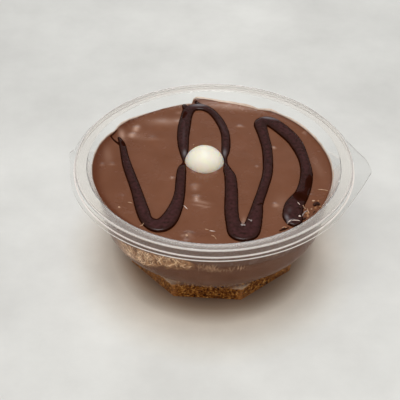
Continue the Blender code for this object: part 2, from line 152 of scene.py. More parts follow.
THUMB_TAB = ((-0.0598, 0.0094), (-0.0611, 0.0076), (-0.0609, 0.0040), (-0.0600, -0.0016))
TAB_INNER_RADIUS = 0.0586
TAB_STEPS = 24

# ---------------------------------------------------------------- the filling
REACH = 0.00025  # how far the filling reaches into the wall
DRUM_UNDERSIDE = (1.0, 0.7, 0.35, 0.0)  # rings of its lower surface, as shares of its radius
DRUM_FIRST_RADIUS = 0.05  # a first guess, made exact in three rounds
CREAM_SEGMENTS = 288
CREAM_BOTTOM = FOOT_HEIGHT - 0.0004
CREAM_TOP = 0.0270
CREAM_RIPPLE = (0.016, 0.0008, 1.5)  # size, height, seed
STRAND_HEAP = (-0.040, -0.028)
STRAND_HEAP_SPREAD = 0.022
STRAND_HEAP_DIP = 0.0065
STRAND_HEAP_RISE = 0.0095
STRAND_CREST = 0.0017  # how much higher the strands stand at the wall, near the front
STRAND_CREST_AZIMUTH = -16.0
STRAND_CREST_WIDTH = 8.0
STRAND_CREST_RADIUS = 0.045
STRAND_THICKNESS = 0.0026
STRAND_TAPER = 0.045
STRAND_LEAST = 0.0006
STRAND_STEP = 0.0008
STRAND_RADII = (0.00012, 0.0002)
STRAND_BEND = 0.05  # most that a strand turns in a step
STRAND_SINK = (0.2, 1.0)  # shares of its radius by which its middle lies inside the filling's edge
# Outline of the bare strands on the wall: azimuth from the front in degrees, height in millimetres
BARE_PATCH = (
    (-56, 26.2), (-50, 27.6), (-42, 29.2), (-33, 30.8), (-25, 32), (-17, 33.2), (-10, 33.2), (-9, 28.2),
    (-17, 26.6), (-22, 25.6), (-26, 25.6), (-30, 23.6), (-35, 19.4), (-40, 18.2), (-46, 18.4), (-52, 21.6),
)
MILLIMETRES_PER_DEGREE = 0.84  # along the wall, at the height of the strands
BARE_FADE = 1.2  # millimetres over which the patch fades at its outline
STRANDS_LOWEST = 0.0212  # below this the patch is smooth
BARE_RAGGED = 1.6  # millimetres by which its outline strays
BARE_RAGGED_SIZE = 0.0022
BARE_STRANDS = 190
BARE_LEAN = (34.0, 18.0)  # degrees from upright: usual and spread
BARE_LENGTHS = (0.0016, 0.0044)
BARE_MARGIN = 0.2  # millimetres by which a strand starts inside the patch, or may reach out of it
BARE_GRAIN = (700.0, 5.0, 0.7)
BARE_STOPS = ((0.4, (0.13, 0.052, 0.022)), (0.6, (0.41, 0.215, 0.105)))
PALE_STOPS = ((0.35, (0.64, 0.41, 0.24)), (0.65, (0.96, 0.71, 0.47)))
# Smooth pale cream on the wall, at the lower left of the patch: where, half sizes and strength
SMEAR_AZIMUTH = -48.0
SMEAR_WIDTH = 10.0
SMEAR_HEIGHT = 0.0215
SMEAR_RISE = 0.0034
SMEAR_STRENGTH = 0.85
SMEAR_COLOUR = (0.40, 0.245, 0.165)
# Fainter strands, soaked in chocolate: azimuth from the front, spread, lowest, highest, how many
SOAKED_PATCHES = (
    (-2.5, 4, 0.0266, 0.0296, 80), (9, 9, 0.0262, 0.0278, 44), (28.5, 3.5, 0.0295, 0.0308, 12),
)
SOAKED_LEAN = (18.0, 14.0)
SOAKED_LENGTHS = (0.0015, 0.0035)
SOAKED_STOPS = ((0.35, (0.23, 0.12, 0.06)), (0.65, (0.38, 0.22, 0.125)))
CREAM_STOPS = ((0.3, (0.100, 0.038, 0.018)), (0.7, (0.142, 0.060, 0.033)))
CHOCOLATE_SIDE = (0.105, 0.042, 0.021)  # milk chocolate seen through the wall

CRUMB_REACH = 0.0005  # how far the crumb reaches into the foot's wall
CRUMB_SIZE = 0.0009
CRUMB_RELIEF = 0.0009
CRUMB_GAP = 2.2  # how steeply a grain's side rises out of the gap beside it
CRUMB_PIT_SHARES = (0.65, 0.7)  # of the gaps between grains, and of the broader hollows
CRUMB_ROWS = 30
CRUMB_COLUMNS = 130
CRUMB_GRAIN = 900.0
CRUMB_STOPS = ((0.34, (0.012, 0.003, 0.001)), (0.46, (0.14, 0.038, 0.005)), (0.58, (0.33, 0.120, 0.020)),
               (0.70, (0.66, 0.35, 0.105)))
CLING_HEIGHT = 0.0083  # how high crumb clings to the cream
CLING_RAGGED = 0.0012
CLING_SIZE = 0.005
CLING_FADE = 0.0006
CRUMB_CORNER_HIGHLIGHT = (0.46, 0.19, 0.06)  # painted highlight that the plastic's upright corners throw on it
CRUMB_CORNER_HIGHLIGHT_SHARE = 0.45
CRUMB_CORNER_HIGHLIGHT_WIDTH = 0.0011
CRUMB_LEFT_LIGHT_SHARE = 0.28  # how much of that colour its left side has, as painted light
CRUMB_LEFT_LIGHT_AZIMUTH = -48.0
CRUMB_LEFT_LIGHT_WIDTH = 17.0
# Painted highlight along the foot's upper edge, in its corner: first and last azimuth from the front, in
# degrees
FOOT_EDGE_HIGHLIGHTS = ((-46.0, -25.0), (11.0, 27.0))
FOOT_EDGE_HIGHLIGHT_FADE = 4.0
FOOT_EDGE_HIGHLIGHT_HEIGHT = 0.0006
FOOT_EDGE_HIGHLIGHT_COLOUR = (0.50, 0.34, 0.22)

CHOCOLATE_LEVEL = 0.0420
CHOCOLATE_TILT = -0.024
CHOCOLATE_RIPPLE = (0.022, 0.0003, 4.5)
CHOCOLATE_SIDE_DEPTH = 0.003  # what lies deeper than this below its level is seen through the wall
CHOCOLATE_STOPS = ((0.3, (0.152, 0.053, 0.022)), (0.7, (0.179, 0.066, 0.031)))
CHOCOLATE_SEGMENTS = 360
CHOCOLATE_RINGS = 150
CLIMB_START = 0.972  # share of the way out from which it bends to its edge
CLIMB_POWER = 1.5
# Height at which the chocolate meets the wall: azimuth in degrees, height in millimetres
CHOCOLATE_EDGE = (
    (-180, 43.4), (-168, 43.1), (-163, 42.6), (-157, 42.3), (-150, 42.3), (-90, 42.4), (-40, 41.2),
    (-22, 40.6), (-17, 40.2), (-13, 41.1), (-6, 41.3), (18, 41.2), (27, 41.4), (40, 41.8), (52, 42), (60, 42),
    (67, 41.3), (78, 41.8), (88, 42.4), (95, 43.4), (99.5, 43.8), (101, 43.2), (102, 41.5), (108, 41.6),
    (114, 41.6), (122, 41.5), (129, 42), (133, 42.3), (138, 43), (145, 43.1), (150, 42.5), (156, 43.2),
    (164, 43.5), (177, 43.5), (180, 43.4),
)

BALL_RADIUS = 0.00815
BALL_CENTRE = Vector((-0.0040, 0.0047, 0.0409))
BALL_STOPS = ((0.3, (0.79, 0.745, 0.63)), (0.7, (0.82, 0.785, 0.68)))
BALL_UNEVEN = 0.006  # share of its radius
BALL_UNEVEN_SIZE = 0.006
BALL_BROADER = 1.035  # it is this much broader from side to side
BALL_SHADE_TOP = 0.0462  # below this it has painted warm shade from the chocolate near it
BALL_SHADE_DEPTH = 0.0045
BALL_LOW_SHADE_COLOUR = (0.80, 0.66, 0.50)
BALL_GLOW = {"Subsurface Weight": 1.0, "Subsurface Radius": (1.0, 0.72, 0.42), "Subsurface Scale": 0.007}
# Rise of the chocolate round the ball: azimuth, height in millimetres; and its width
BALL_COLLAR = (
    (-180, 0.2), (-150, 0.4), (-130, 0.45), (-110, 0.1), (-70, 0.1), (-50, 0.45), (-30, 0.4), (0, 0.2),
    (180, 0.2),
)
BALL_COLLAR_WIDTH = 0.0010

# Each stroke's route: x, y and width, in millimetres
STROKES = (
    ((-41.2, 20, 1.4), (-39.8, 16.4, 2.6), (-38.9, 12.6, 3.1), (-37.7, 6.2, 3.5), (-35.9, -1.2, 4.2),
     (-31.7, -15.5, 4.6), (-28.6, -27.6, 5.5), (-26.2, -35, 5.6), (-22, -38.2, 7.8), (-18.4, -35.6, 7.6),
     (-15.6, -28, 6.2), (-13.9, -18.2, 4.7), (-13.6, -6.8, 4.3), (-13.4, -1, 3.8), (-13, 1.5, 2.6),
     (-12.7, 3.4, 1.1)),
    ((-12.7, 3.4, 1.1), (-12.7, 6, 1.7), (-12.9, 11.4, 3.8), (-13.2, 15.8, 4.8), (-13.5, 22.8, 5.4),
     (-13.2, 30.5, 5.7), (-12.5, 37.5, 5.2), (-11.5, 42.4, 5.4), (-9.1, 44.8, 4.8), (-5.4, 45, 4.6),
     (-2.7, 43.4, 4), (-0.4, 40.6, 3.9), (2.6, 34.2, 4), (4.7, 26, 3.9), (5.1, 18, 4), (4.9, 12.4, 3.6),
     (4.8, 8.4, 2), (5, 4, 1.7)),
    ((5, 4, 1.7), (5.3, 1.8, 2.6), (5.8, -0.8, 3.8), (6.9, -5.4, 5), (7.3, -14.1, 5.5), (7.3, -27.4, 5.8),
     (8, -34.6, 6.2), (10.2, -41, 8.6), (13.6, -41, 8.6), (15.6, -36.6, 7.2), (17.2, -28, 5.6),
     (18.1, -22.2, 4.5), (20.5, -12.1, 4.3), (22.6, -0.8, 4.4), (22.8, 14.4, 4.6), (21.4, 25.6, 5),
     (20.4, 33, 6), (22, 35.8, 6), (25.6, 34.8, 7), (31.1, 28.2, 7), (35.4, 20.4, 6.3), (38.2, 8.6, 4.9),
     (38.8, -2.5, 5.4), (36.7, -13.8, 6), (32.9, -22.4, 7.8), (31.8, -28.8, 8.3), (32, -31.6, 7.6),
     (32, -33.4, 5.4), (32, -34.6, 2.6)),
    ((-44.8, 21, 0.7), (-43, 18, 0.9), (-40.8, 15.6, 1.3)),
    ((-44.8, 21, 0.8), (-43.6, 23.4, 0.8), (-42.6, 25.6, 0.5)),
    ((-12.6, 42, 3), (-13.4, 45.6, 2.4), (-13.8, 47, 1.6)),
    ((-8.6, 48.6, 1.2), (-6.8, 47.8, 1.6), (-3.8, 46.4, 0.7)),
    ((26.4, -38.8, 0.8), (28.2, -37.7, 1.1), (29.8, -36.8, 0.6)),
)
DRIZZLE_STOPS = ((0.35, (0.019, 0.004, 0.002)), (0.65, (0.032, 0.008, 0.005)))
DRIZZLE_SPACING = 0.0004  # between the points of a route
DRIZZLE_CELL = 0.00025  # of the grid that its surface is made of
DRIZZLE_SPAN = 0.0500
DRIZZLE_STEEPNESS = 0.6  # height of a thin line's back as a share of half its width
DRIZZLE_HEIGHT = 0.0011  # height of a wide line
DRIZZLE_DIP = 0.4  # share of that height by which its edges dip into the milk chocolate
DRIZZLE_EDGE = 0.0006  # width of the darker line of painted shade along its sides
DRIZZLE_SHADE_COLOUR = (0.018, 0.004, 0.0015)
# The middle of a line is paler, a painted reflection on its flat back: how far in it starts, over what
# distance, and in what patches
DRIZZLE_REFLECTION_START = 0.0007
DRIZZLE_REFLECTION_FADE = 0.0015
DRIZZLE_REFLECTION_COLOUR = (0.053, 0.0150, 0.0155)
DRIZZLE_MOTTLE = 0.0013
DRIZZLE_MOTTLE_MIDDLE = 0.55
# Painted shade at its darkest places, given as the soft patches below: folds and the thin ends beside the
# ball
DRIZZLE_SHADE_SPOTS = (
    (39.2, -8, 7.5, 1.9, 80, 0.95), (35, -17.6, 3.4, 4.2, 20, 0.95), (18.9, -23.4, 1.9, 0.65, 35, 1),
    (-13, 0.8, 1.8, 2.2, 0, 0.54), (5.5, 0.2, 1.8, 2.2, 0, 0.54), (-27, -35.5, 2.4, 1.6, -60, 0.5),
    (25, 31, 4, 1.2, -30, 0.35), (-22, -34.6, 1.4, 0.8, 0, 0.8), (9.6, -38, 3, 1.4, -70, 0.4),
    (-38.4, 12, 5, 1.2, -82, 0.4), (-14, 36, 5, 1, -95, 0.35), (20.8, 30.5, 3, 1.4, -90, 0.5),
    (-13.2, 23, 9, 2.2, -90, 0.3), (35.5, 19, 8, 2.4, -60, 0.3), (32.2, -27, 5, 3.6, 90, 0.35),
    (-12.2, 39, 6, 2.6, 90, 0.54), (1, 38, 5.5, 1.8, -60, 0.5), (24, 34.4, 4.5, 2.2, -15, 0.54),
    (-39.4, 16, 3, 1.6, -75, 0.6),
)
DRIZZLE_DULL_TILT = 0.10  # faces that lean to +Y by more than this are dull too
DRIZZLE_DULL_FOLD = 0.55  # and so are faces that lie deeper than this in a fold
# Soft sheens on the drizzle, given as the soft patches below
GLINT = (0.20, 0.18, 0.19)
GLINTS = (
    (-12.5, 9.6, 2, 0.7, -88, 0.75), (4.5, 10.6, 2.2, 0.7, -92, 0.75), (29.4, -31.6, 1.7, 0.7, 100, 0.65),
    (30.3, -33.6, 1.8, 0.6, 30, 0.7), (-6.9, 46.2, 3.8, 1.2, 4, 0.9), (24, 37.4, 4, 0.8, -12, 0.85),
    (-13.2, 22, 7, 0.5, -90, 0.1), (3.4, 30, 6, 0.5, -72, 0.1), (30.6, -27, 1.6, 0.8, 80, 0.16),
)

# Soft bumps in the milk chocolate: x, y, radius and height, in millimetres
BUMPS = (
    (-34.3, 27.4, 1.5, 0.5), (-35.7, 22.4, 1.3, 0.5), (-6.9, -19.8, 1.5, 0.7), (-7.6, -12.6, 2, 0.4),
    (-9.3, -43, 1.6, 1.1), (-10.8, -44.6, 1.2, 0.8), (-26.9, 20.1, 2.2, 0.25), (-23, 31.5, 3, 0.3),
    (-17.3, -7, 0.9, 0.25), (11.3, 31.3, 1.2, 0.3), (25.8, 16.4, 0.8, 0.3), (25, -22.7, 1.2, 0.35),
    (18.2, 2.4, 0.7, 0.2), (39.4, 28.3, 1, 0.3), (-47, 0.3, 1, 0.3), (-37.1, -20.3, 1.2, 0.25),
    (-42.8, 0.6, 1.4, 0.2), (40, -16, 1.4, 0.3), (11.6, -35.4, 0.9, 0.6), (-16.4, 33, 1.6, 0.25),
)
# Pale soft patches on it, mostly painted sheen and highlights on its bumps and undulations, with a few paler
# swirls in the chocolate itself: x, y, half length and half width in millimetres, azimuth in degrees,
# strength
SHEEN_AND_SWIRL = (0.60, 0.38, 0.28)
SHEEN_AND_SWIRLS = (
    (-22.3, 33.2, 6, 2.6, 3, 0.26), (-14.6, 34.4, 2.2, 2.4, 3, 0.3), (-34.2, 27.2, 1.3, 2.4, -10, 0.62),
    (-35.8, 22.2, 1.5, 1.5, 0, 0.58), (-32.6, 21.6, 3, 2.4, 0, 0.12), (-40.1, 22.6, 3.6, 1.2, -80, 0.48),
    (-45, 7.6, 6.5, 1.8, -80, 0.13), (-27, 19.8, 3.4, 1, 3, 0.12), (-4.8, -22.1, 3.2, 1, -14, 0.26),
    (-5.2, -24.4, 2.6, 0.5, -12, 0.34), (-2.9, -25.4, 1.8, 0.4, 20, 0.2), (-7.6, -12.6, 1.6, 1.9, 0, 0.24),
    (-6.9, -19.8, 1.2, 1.5, 0, 0.42), (7, 46.6, 9, 2.4, -5, 0.3), (-15.8, 40.6, 1.2, 1, 0, 0.24),
    (25.3, -23, 1.1, 1, 0, 0.36), (28, -22, 3, 6, 0, 0.1), (12.3, -33.4, 0.8, 2.4, 0, 0.3),
    (-17.3, -7, 0.8, 0.6, 0, 0.4), (11.3, 31.3, 1.6, 0.6, 0, 0.34), (25.8, 16.4, 0.8, 0.7, 0, 0.5),
    (39.4, 28.3, 0.8, 0.5, 0, 0.34), (-47, 0.3, 1, 0.4, 0, 0.3), (-42.8, 0.6, 1.2, 0.4, 0, 0.25),
    (44, 4, 1.8, 8, 12, 0.1), (-9.6, -43.6, 1.6, 1.2, 0, 0.2), (18.2, 2.4, 0.7, 0.4, 0, 0.2),
    (-11.6, -43.8, 0.8, 0.8, 0, 0.3), (2.4, 12, 1.4, 8, 0, 0.06), (-37.8, -27.4, 0.7, 0.5, 0, 0.25),
)
# Painted shade on it: darker soft patches, given in the same way
PAINTED_SHADE = (0.120, 0.034, 0.010)
PAINTED_SHADE_SPOTS = (
    (-40, -2, 9, 26, 0, 0.32), (43, 0, 7, 26, 0, 0.3), (-4.5, -42.5, 5, 2, 0, 0.45),
    (-12.5, -45, 4, 1.6, 20, 0.35), (38.5, -27, 6, 5, -60, 0.35), (30, -38.5, 4, 1.5, 30, 0.3),
    (-9.6, -42, 2.2, 0.8, 0, 0.35), (-34.8, 24.8, 2.5, 0.8, 0, 0.3),
)
# Painted shade on the chocolate along the wall, where it climbs to meet it: azimuth in degrees, width in
# millimetres
RING_SHADE_COLOUR = (0.095, 0.021, 0.003)
RING_SHADE_WIDTHS = (
    (-180, 3), (-150, 1.6), (-130, 0.9), (-90, 0.7), (-30, 0.7), (0, 1), (60, 0.8), (68, 0.1), (97, 0.1),
    (101, 0.7), (110, 0.7), (132, 1.5), (150, 2.8), (180, 3),
)
# Strands and crumbs lying on the chocolate come in five shades
LOOSE_SHADES = {
    "pale": ((0.35, (0.58, 0.44, 0.38)), (0.65, (0.82, 0.68, 0.60))),
    "tan": ((0.35, (0.38, 0.21, 0.12)), (0.65, (0.62, 0.41, 0.28))),
    "amber": ((0.35, (0.24, 0.10, 0.040)), (0.65, (0.40, 0.20, 0.10))),
    "grey": ((0.35, (0.26, 0.21, 0.195)), (0.65, (0.37, 0.31, 0.295))),
    "dark": ((0.35, (0.020, 0.005, 0.002)), (0.65, (0.035, 0.010, 0.005))),
}
LOOSE_SLOTS = {"amber": "kunafa_crumb", "dark": "dark_chocolate"}
# Strands: x, y, length in millimetres, azimuth in degrees, shade
LOOSE_STRANDS = (
    (45.2, -11.3, 4.4, 8, "tan"), (-11.2, -25.8, 2.8, 125, "pale"), (-2.4, -39.5, 1.6, 161, "tan"),
    (-0.3, -40.3, 2.4, 169, "pale"), (0.2, -43.3, 1.7, 144, "tan"), (1, -44.4, 1.8, 114, "tan"),
    (34.5, -22.5, 1.8, 121, "pale"), (35.8, -27.4, 5.2, 89, "grey"), (36.8, -23.9, 2, 133, "tan"),
    (38, -25.9, 3.2, 113, "tan"), (30.4, -34, 2.4, 34, "pale"), (32.8, -33.2, 3.3, 10, "pale"),
    (-28, -38.5, 2, 20, "tan"), (-33.6, -24, 2, 160, "tan"), (14.5, -34, 1.7, 153, "grey"),
    (41.7, -20.9, 2.4, 138, "dark"), (40.4, -26.4, 2.4, 70, "dark"), (27.9, -37.9, 3, 31, "dark"),
    (28.1, -36.6, 2, 25, "tan"), (42.4, -20, 1.4, 150, "dark"), (-8.9, 16.7, 1, 60, "tan"),
)
# Crumbs: x, y and size in millimetres, shade
LOOSE_CRUMBS = (
    (40.7, -19.3, 0.8, "tan"), (42.7, -19.1, 0.7, "amber"), (41.2, -21.6, 1.5, "dark"),
    (42.5, -21.3, 1.3, "dark"), (37.6, -27.6, 1.2, "amber"), (37.9, -28.9, 1, "amber"),
    (34.5, -30.6, 0.7, "pale"), (43.2, -22.8, 0.9, "amber"), (11.5, -37.2, 1, "grey"),
    (12.3, -37.2, 0.9, "grey"), (15.1, -34.4, 0.7, "grey"), (36.4, -30.9, 1, "dark"),
    (41.4, -23.6, 0.9, "amber"), (28.6, -36.9, 0.9, "amber"), (-10.2, -44.6, 0.9, "tan"),
    (-37.8, -27.4, 0.8, "tan"), (39.6, -24.6, 0.7, "tan"), (34.9, -25.2, 0.8, "dark"),
)
LUMP_SINK = 0.3  # share of a crumb's size below the surface
LUMP_UNEVEN = 0.45  # how uneven a crumb is, and the size of that as a share of the crumb's
LUMP_HEIGHT = 0.8  # its height and its length as shares of its width
LUMP_STRETCH = (1.0, 1.6)
LOOSE_RADII = (0.00017, 0.00025)
LOOSE_BEND = 0.12  # most that a loose strand turns in a step
LOOSE_STEP = 0.4  # millimetres
# Pale film of chocolate on the wall, along the edge; partly it stands in for a painted highlight along the
# meniscus
FILM_HEIGHTS = (
    (-180, 0.5), (-100, 0.4), (-60, 0.9), (-30, 1), (0, 0.9), (20, 0.8), (60, 0.8), (90, 0.6), (180, 0.5),
)
# Share of the painted shade along the chocolate's edge, by azimuth: there is none at the back
FILM_SHADE_SHARES = ((60, 1.0), (68, 0.1), (97, 0.0), (101, 0.8))
FILM_SHARES = (0.0, 0.15, 0.3, 0.45, 0.6, 0.8, 1.0)
FILM_OVERLAP = 0.0004
FILM_DARK = 0.0005  # height over which its lower part has painted shade, as dark as the chocolate's rim
FILM_SHADE_COLOUR = (0.045, 0.011, 0.003)
FILM_THICKNESS = 0.00012
FILM_STEPS = 720
FILM_AND_HIGHLIGHT_STOPS = ((0.35, (0.60, 0.46, 0.36)), (0.65, (0.80, 0.66, 0.55)))

# Foods: colours, scale and detail of their pattern, roughness, scale and depth of the relief, specular level
FOODS = {
    "kunafa_crumb": (CRUMB_STOPS, CRUMB_GRAIN, 3.0, (0.6, 0.8), 1800.0, 0.0003, 0.05),
    "chocolate_cream": (CREAM_STOPS, 180.0, 4.0, (0.6, 0.7), 500.0, 0.0002, 0.05),
    "strand_core": (CREAM_STOPS, 180.0, 4.0, (0.6, 0.7), 900.0, 0.0004, 0.05),
    "pale_strands": (PALE_STOPS, 260.0, 4.0, (0.5, 0.6), 900.0, 0.0001, 0.05),
    "soaked_strands": (SOAKED_STOPS, 260.0, 4.0, (0.5, 0.6), 900.0, 0.0001, 0.05),
    "milk_chocolate": (CHOCOLATE_STOPS, 90.0, 4.0, (0.20, 0.30), 220.0, 0.00012, 0.4),
    "dark_chocolate": (DRIZZLE_STOPS, 420.0, 4.0, (0.14, 0.24), 420.0, 0.00006, 0.25),
    "milk_film_and_highlight": (FILM_AND_HIGHLIGHT_STOPS, 200.0, 4.0, (0.3, 0.5), 900.0, 0.00005, 0.2),
    "white_chocolate": (BALL_STOPS, 150.0, 4.0, (0.3, 0.42), 500.0, 0.00005, 0.5),
}
LOOSE_FINISH = (450.0, 4.0, (0.35, 0.55), 900.0, 0.0001, 0.12)

# ---------------------------------------------------------------- helpers
def clamp(value):
    return min(1.0, max(0.0, value))


def interpolate(table, place):
    """The value at a place in a table of (place, value) rows."""
    return float(np.interp(place, *zip(*table)))


def link(name, data):
    item = bpy.data.objects.new(name, data)
    bpy.context.scene.collection.objects.link(item)
    return item


def from_bmesh(name, bm):
    """A new object with the shape that bm holds."""
    mesh = bpy.data.meshes.new(name)
    bm.to_mesh(mesh)
    bm.free()
    return link(name, mesh)


def from_points(name, points, faces):
    mesh = bpy.data.meshes.new(name)
    mesh.from_pydata([tuple(point) for point in points], [], faces)
    mesh.update()
    return link(name, mesh)


def final_mesh(item, *helpers):
    """An object's mesh with its modifiers applied; it and its helpers are removed."""
    graph = bpy.context.evaluated_depsgraph_get()
    mesh = bpy.data.meshes.new_from_object(item.evaluated_get(graph))
    for used in (item, *helpers):
        bpy.data.objects.remove(used)
    return mesh


def finish_piece(item, slot, node, *materials):
    """Shade and colour a piece of the dessert, and attach it to the root."""
    item.data.materials.clear()
    for material in materials:
        item.data.materials.append(material)
    item.data.shade_smooth()
    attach(item, "root")
    if node is not None:
        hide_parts(node)


def rounded(corners):
    """Replace each inner corner (x, y, rounding) of an open line by an arc."""
    points = [Vector(corners[0][:2])]
    for before, corner, after in zip(corners, corners[1:], corners[2:]):
        here = Vector(corner[:2])
        towards = (Vector(before[:2]) - here).normalized()
        onwards = (Vector(after[:2]) - here).normalized()
        half_angle = towards.angle(onwards) / 2
        centre = here + (towards + onwards).normalized() * corner[2] / math.sin(half_angle)
        start = here + towards * corner[2] / math.tan(half_angle) - centre
        end = here + onwards * corner[2] / math.tan(half_angle) - centre
        sweep = start.angle_signed(end)
        for step in range(ARC_STEPS + 1):
            points.append(centre + Matrix.Rotation(-sweep * step / ARC_STEPS, 2) @ start)
    points.append(Vector(corners[-1][:2]))
    return points


def offset_right(points, distance):
    """The same line, moved to its right by a distance, with mitred corners."""
    moved = []
    last = len(points) - 1
    for index, point in enumerate(points):
        ahead = (points[min(index + 1, last)] - points[min(index, last - 1)]).normalized()
        behind = (points[max(index, 1)] - points[max(index - 1, 0)]).normalized()
        normal = Vector((ahead.y, -ahead.x))
        mitre = (normal + Vector((behind.y, -behind.x))).normalized()
        moved.append(point + mitre * distance / mitre.dot(normal))
    return moved


def turned(name, section, segments=TURN_SEGMENTS, closed=False):
    """Turn a section (radius, height) about the Z axis; it runs down its outer side."""
    bm = bmesh.new()
    points = [bm.verts.new((radius, 0.0, height)) for radius, height in section]
    for start, end in zip(points, points[1:]):
        bm.edges.new((start, end))
    if closed:
        bm.edges.new((points[-1], points[0]))
    item = from_bmesh(name, bm)
    screw = item.modifiers.new("Turn", "SCREW")
    screw.steps = segments
    screw.render_steps = segments
    screw.use_merge_vertices = True
    screw.merge_threshold = MERGE_DISTANCE
    return item


def foot_block(name, low, high, inset, bevel=0.0):
    """An upright eight-sided block inside the foot's outline, between two heights."""
    bm = bmesh.new()
    bmesh.ops.create_cone(bm, cap_ends=True, segments=FOOT_SIDES, radius1=foot_radius_at(low) - inset,
                          radius2=foot_radius_at(high) - inset, depth=high - low)
    place = Matrix.Translation((0.0, 0.0, (low + high) / 2)) @ Matrix.Rotation(FOOT_TURN, 4, "Z")
    bmesh.ops.transform(bm, matrix=place, verts=bm.verts)
    item = from_bmesh(name, bm)
    if bevel > 0.0:
        modifier = item.modifiers.new("Round", "BEVEL")
        modifier.width = bevel
        modifier.segments = 4
        modifier.limit_method = "ANGLE"
        modifier.angle_limit = SHARP_ANGLE
    return item


SECTION = rounded(TUB_SECTION)
WALL_LINE = [point for point in SECTION if point.y < RIM_HEIGHT and point.x < TUB_SECTION[3][0] + 0.0002]
WALL_HEIGHTS = np.array([point.y for point in WALL_LINE])
WALL_RADII = np.array([point.x for point in WALL_LINE])


def wall_radius(height):
    """Radius of the tub's inner face at a height."""
    return float(np.interp(height, WALL_HEIGHTS, WALL_RADII))


def edge_height(azimuth):
    """Height at which the milk chocolate meets the wall."""
    return 0.001 * interpolate(CHOCOLATE_EDGE, azimuth)


# ---------------------------------------------------------------- materials
def new_material(name):
    material = bpy.data.materials.new(name)
    material.use_nodes = True
    return material, material.node_tree, material.node_tree.nodes["Principled BSDF"]


def set_inputs(node, values):
    """Give each named input a value, or the output of another node."""
    for name, value in values.items():
        if isinstance(value, bpy.types.NodeSocket):
            node.id_data.links.new(value, node.inputs[name])
        else:
            node.inputs[name].default_value = value


def add_node(tree, kind, values=None):
    node = tree.nodes.new("ShaderNode" + kind)
    set_inputs(node, values or {})
    return node


def object_noise(tree, scale, detail=3.0, roughness=0.5):
    """A noise pattern in the piece's own space."""
    place = add_node(tree, "TexCoord").outputs["Object"]
    values = {"Vector": place, "Scale": scale, "Detail": detail, "Roughness": roughness}
    return add_node(tree, "TexNoise", values).outputs["Fac"]


def ramp(tree, source, stops):
    """A colour ramp of (position, colour) stops."""
    node = add_node(tree, "ValToRGB", {"Fac": source})
    elements = node.color_ramp.elements
    elements[0].position = stops[0][0]
    elements[1].position = stops[-1][0]
    for position, _ in stops[1:-1]:
        elements.new(position)
    for element, (_, colour) in zip(elements, stops):
        element.color = (*colour, 1.0)
    return node.outputs["Color"]


def stored(tree, mesh, name, values):
    """Keep a number for each point of a mesh, and give the material's output that reads it."""
    mesh.attributes.new(name, "FLOAT", "POINT").data.foreach_set("value", values)
    node = add_node(tree, "Attribute")
    node.attribute_name = name
    return node.outputs["Fac"]


def colour_mix(tree, share, first, second, blend="MIX"):
    """Mix a colour output with a second colour, which is a colour or an output."""
    mix = tree.nodes.new("ShaderNodeMix")
    mix.data_type = "RGBA"
    mix.blend_type = blend
    second = (*second, 1.0) if isinstance(second, tuple) else second
    set_inputs(mix, {"Factor": share, "A": first, "B": second})
    return mix.outputs["Result"]


def paint(item, material, name, values, colour):
    """Turn a material's colour into another one where a piece's own values are 1."""
    tree = material.node_tree
    shader = tree.nodes["Principled BSDF"]
    before = shader.inputs["Base Color"].links[0].from_socket
    share = stored(tree, item.data, name, values)
    set_inputs(shader, {"Base Color": colour_mix(tree, share, before, colour)})


def plastic(name, colour, roughness, ior, transmission, sheen):
    """Thin clear plastic that lets lamps' light through to the filling."""
    material, tree, shader = new_material(name)
    set_inputs(shader, {
        "Base Color": (*colour, 1.0), "Roughness": roughness, "IOR": ior, "Transmission Weight": transmission,
        "Sheen Weight": sheen, "Sheen Roughness": SHEEN_ROUGHNESS, "Sheen Tint": SHEEN_TINT,
    })
    rays = add_node(tree, "LightPath").outputs
    either = add_node(tree, "Math", {0: rays["Is Shadow Ray"], 1: rays["Is Diffuse Ray"]})
    either.operation = "MAXIMUM"
    passing = add_node(tree, "BsdfTransparent", {"Color": OPEN_COLOUR}).outputs["BSDF"]
    mix = add_node(tree, "MixShader", {"Fac": either.outputs["Value"], 1: shader.outputs["BSDF"], 2: passing})
    set_inputs(tree.nodes["Material Output"], {"Surface": mix.outputs["Shader"]})
    return material


def food_material(name, row=None):
    """A food's colour, varied by noise, with its roughness and relief, from its row in the table."""
    stops, grain, detail, (smooth, rough), relief, relief_depth, specular = row or FOODS[name]
    material, tree, shader = new_material(name)
    shine = add_node(tree, "MapRange", {"Value": object_noise(tree, 1.7 * grain, 2.0), "From Min": 0.3,
                                        "From Max": 0.7, "To Min": smooth, "To Max": rough})
    bump = add_node(tree, "Bump", {"Height": object_noise(tree, relief, 4.0), "Distance": relief_depth})
    set_inputs(shader, {
        "Base Color": ramp(tree, object_noise(tree, grain, detail, 0.6), stops),
        "Normal": bump.outputs["Normal"], "Roughness": shine.outputs["Result"],
        "Specular IOR Level": specular,
    })
    return material


# ---------------------------------------------------------------- tub
def foot_radius_at(height):
    return FOOT_RADIUS + FOOT_FLARE * height / FOOT_HEIGHT


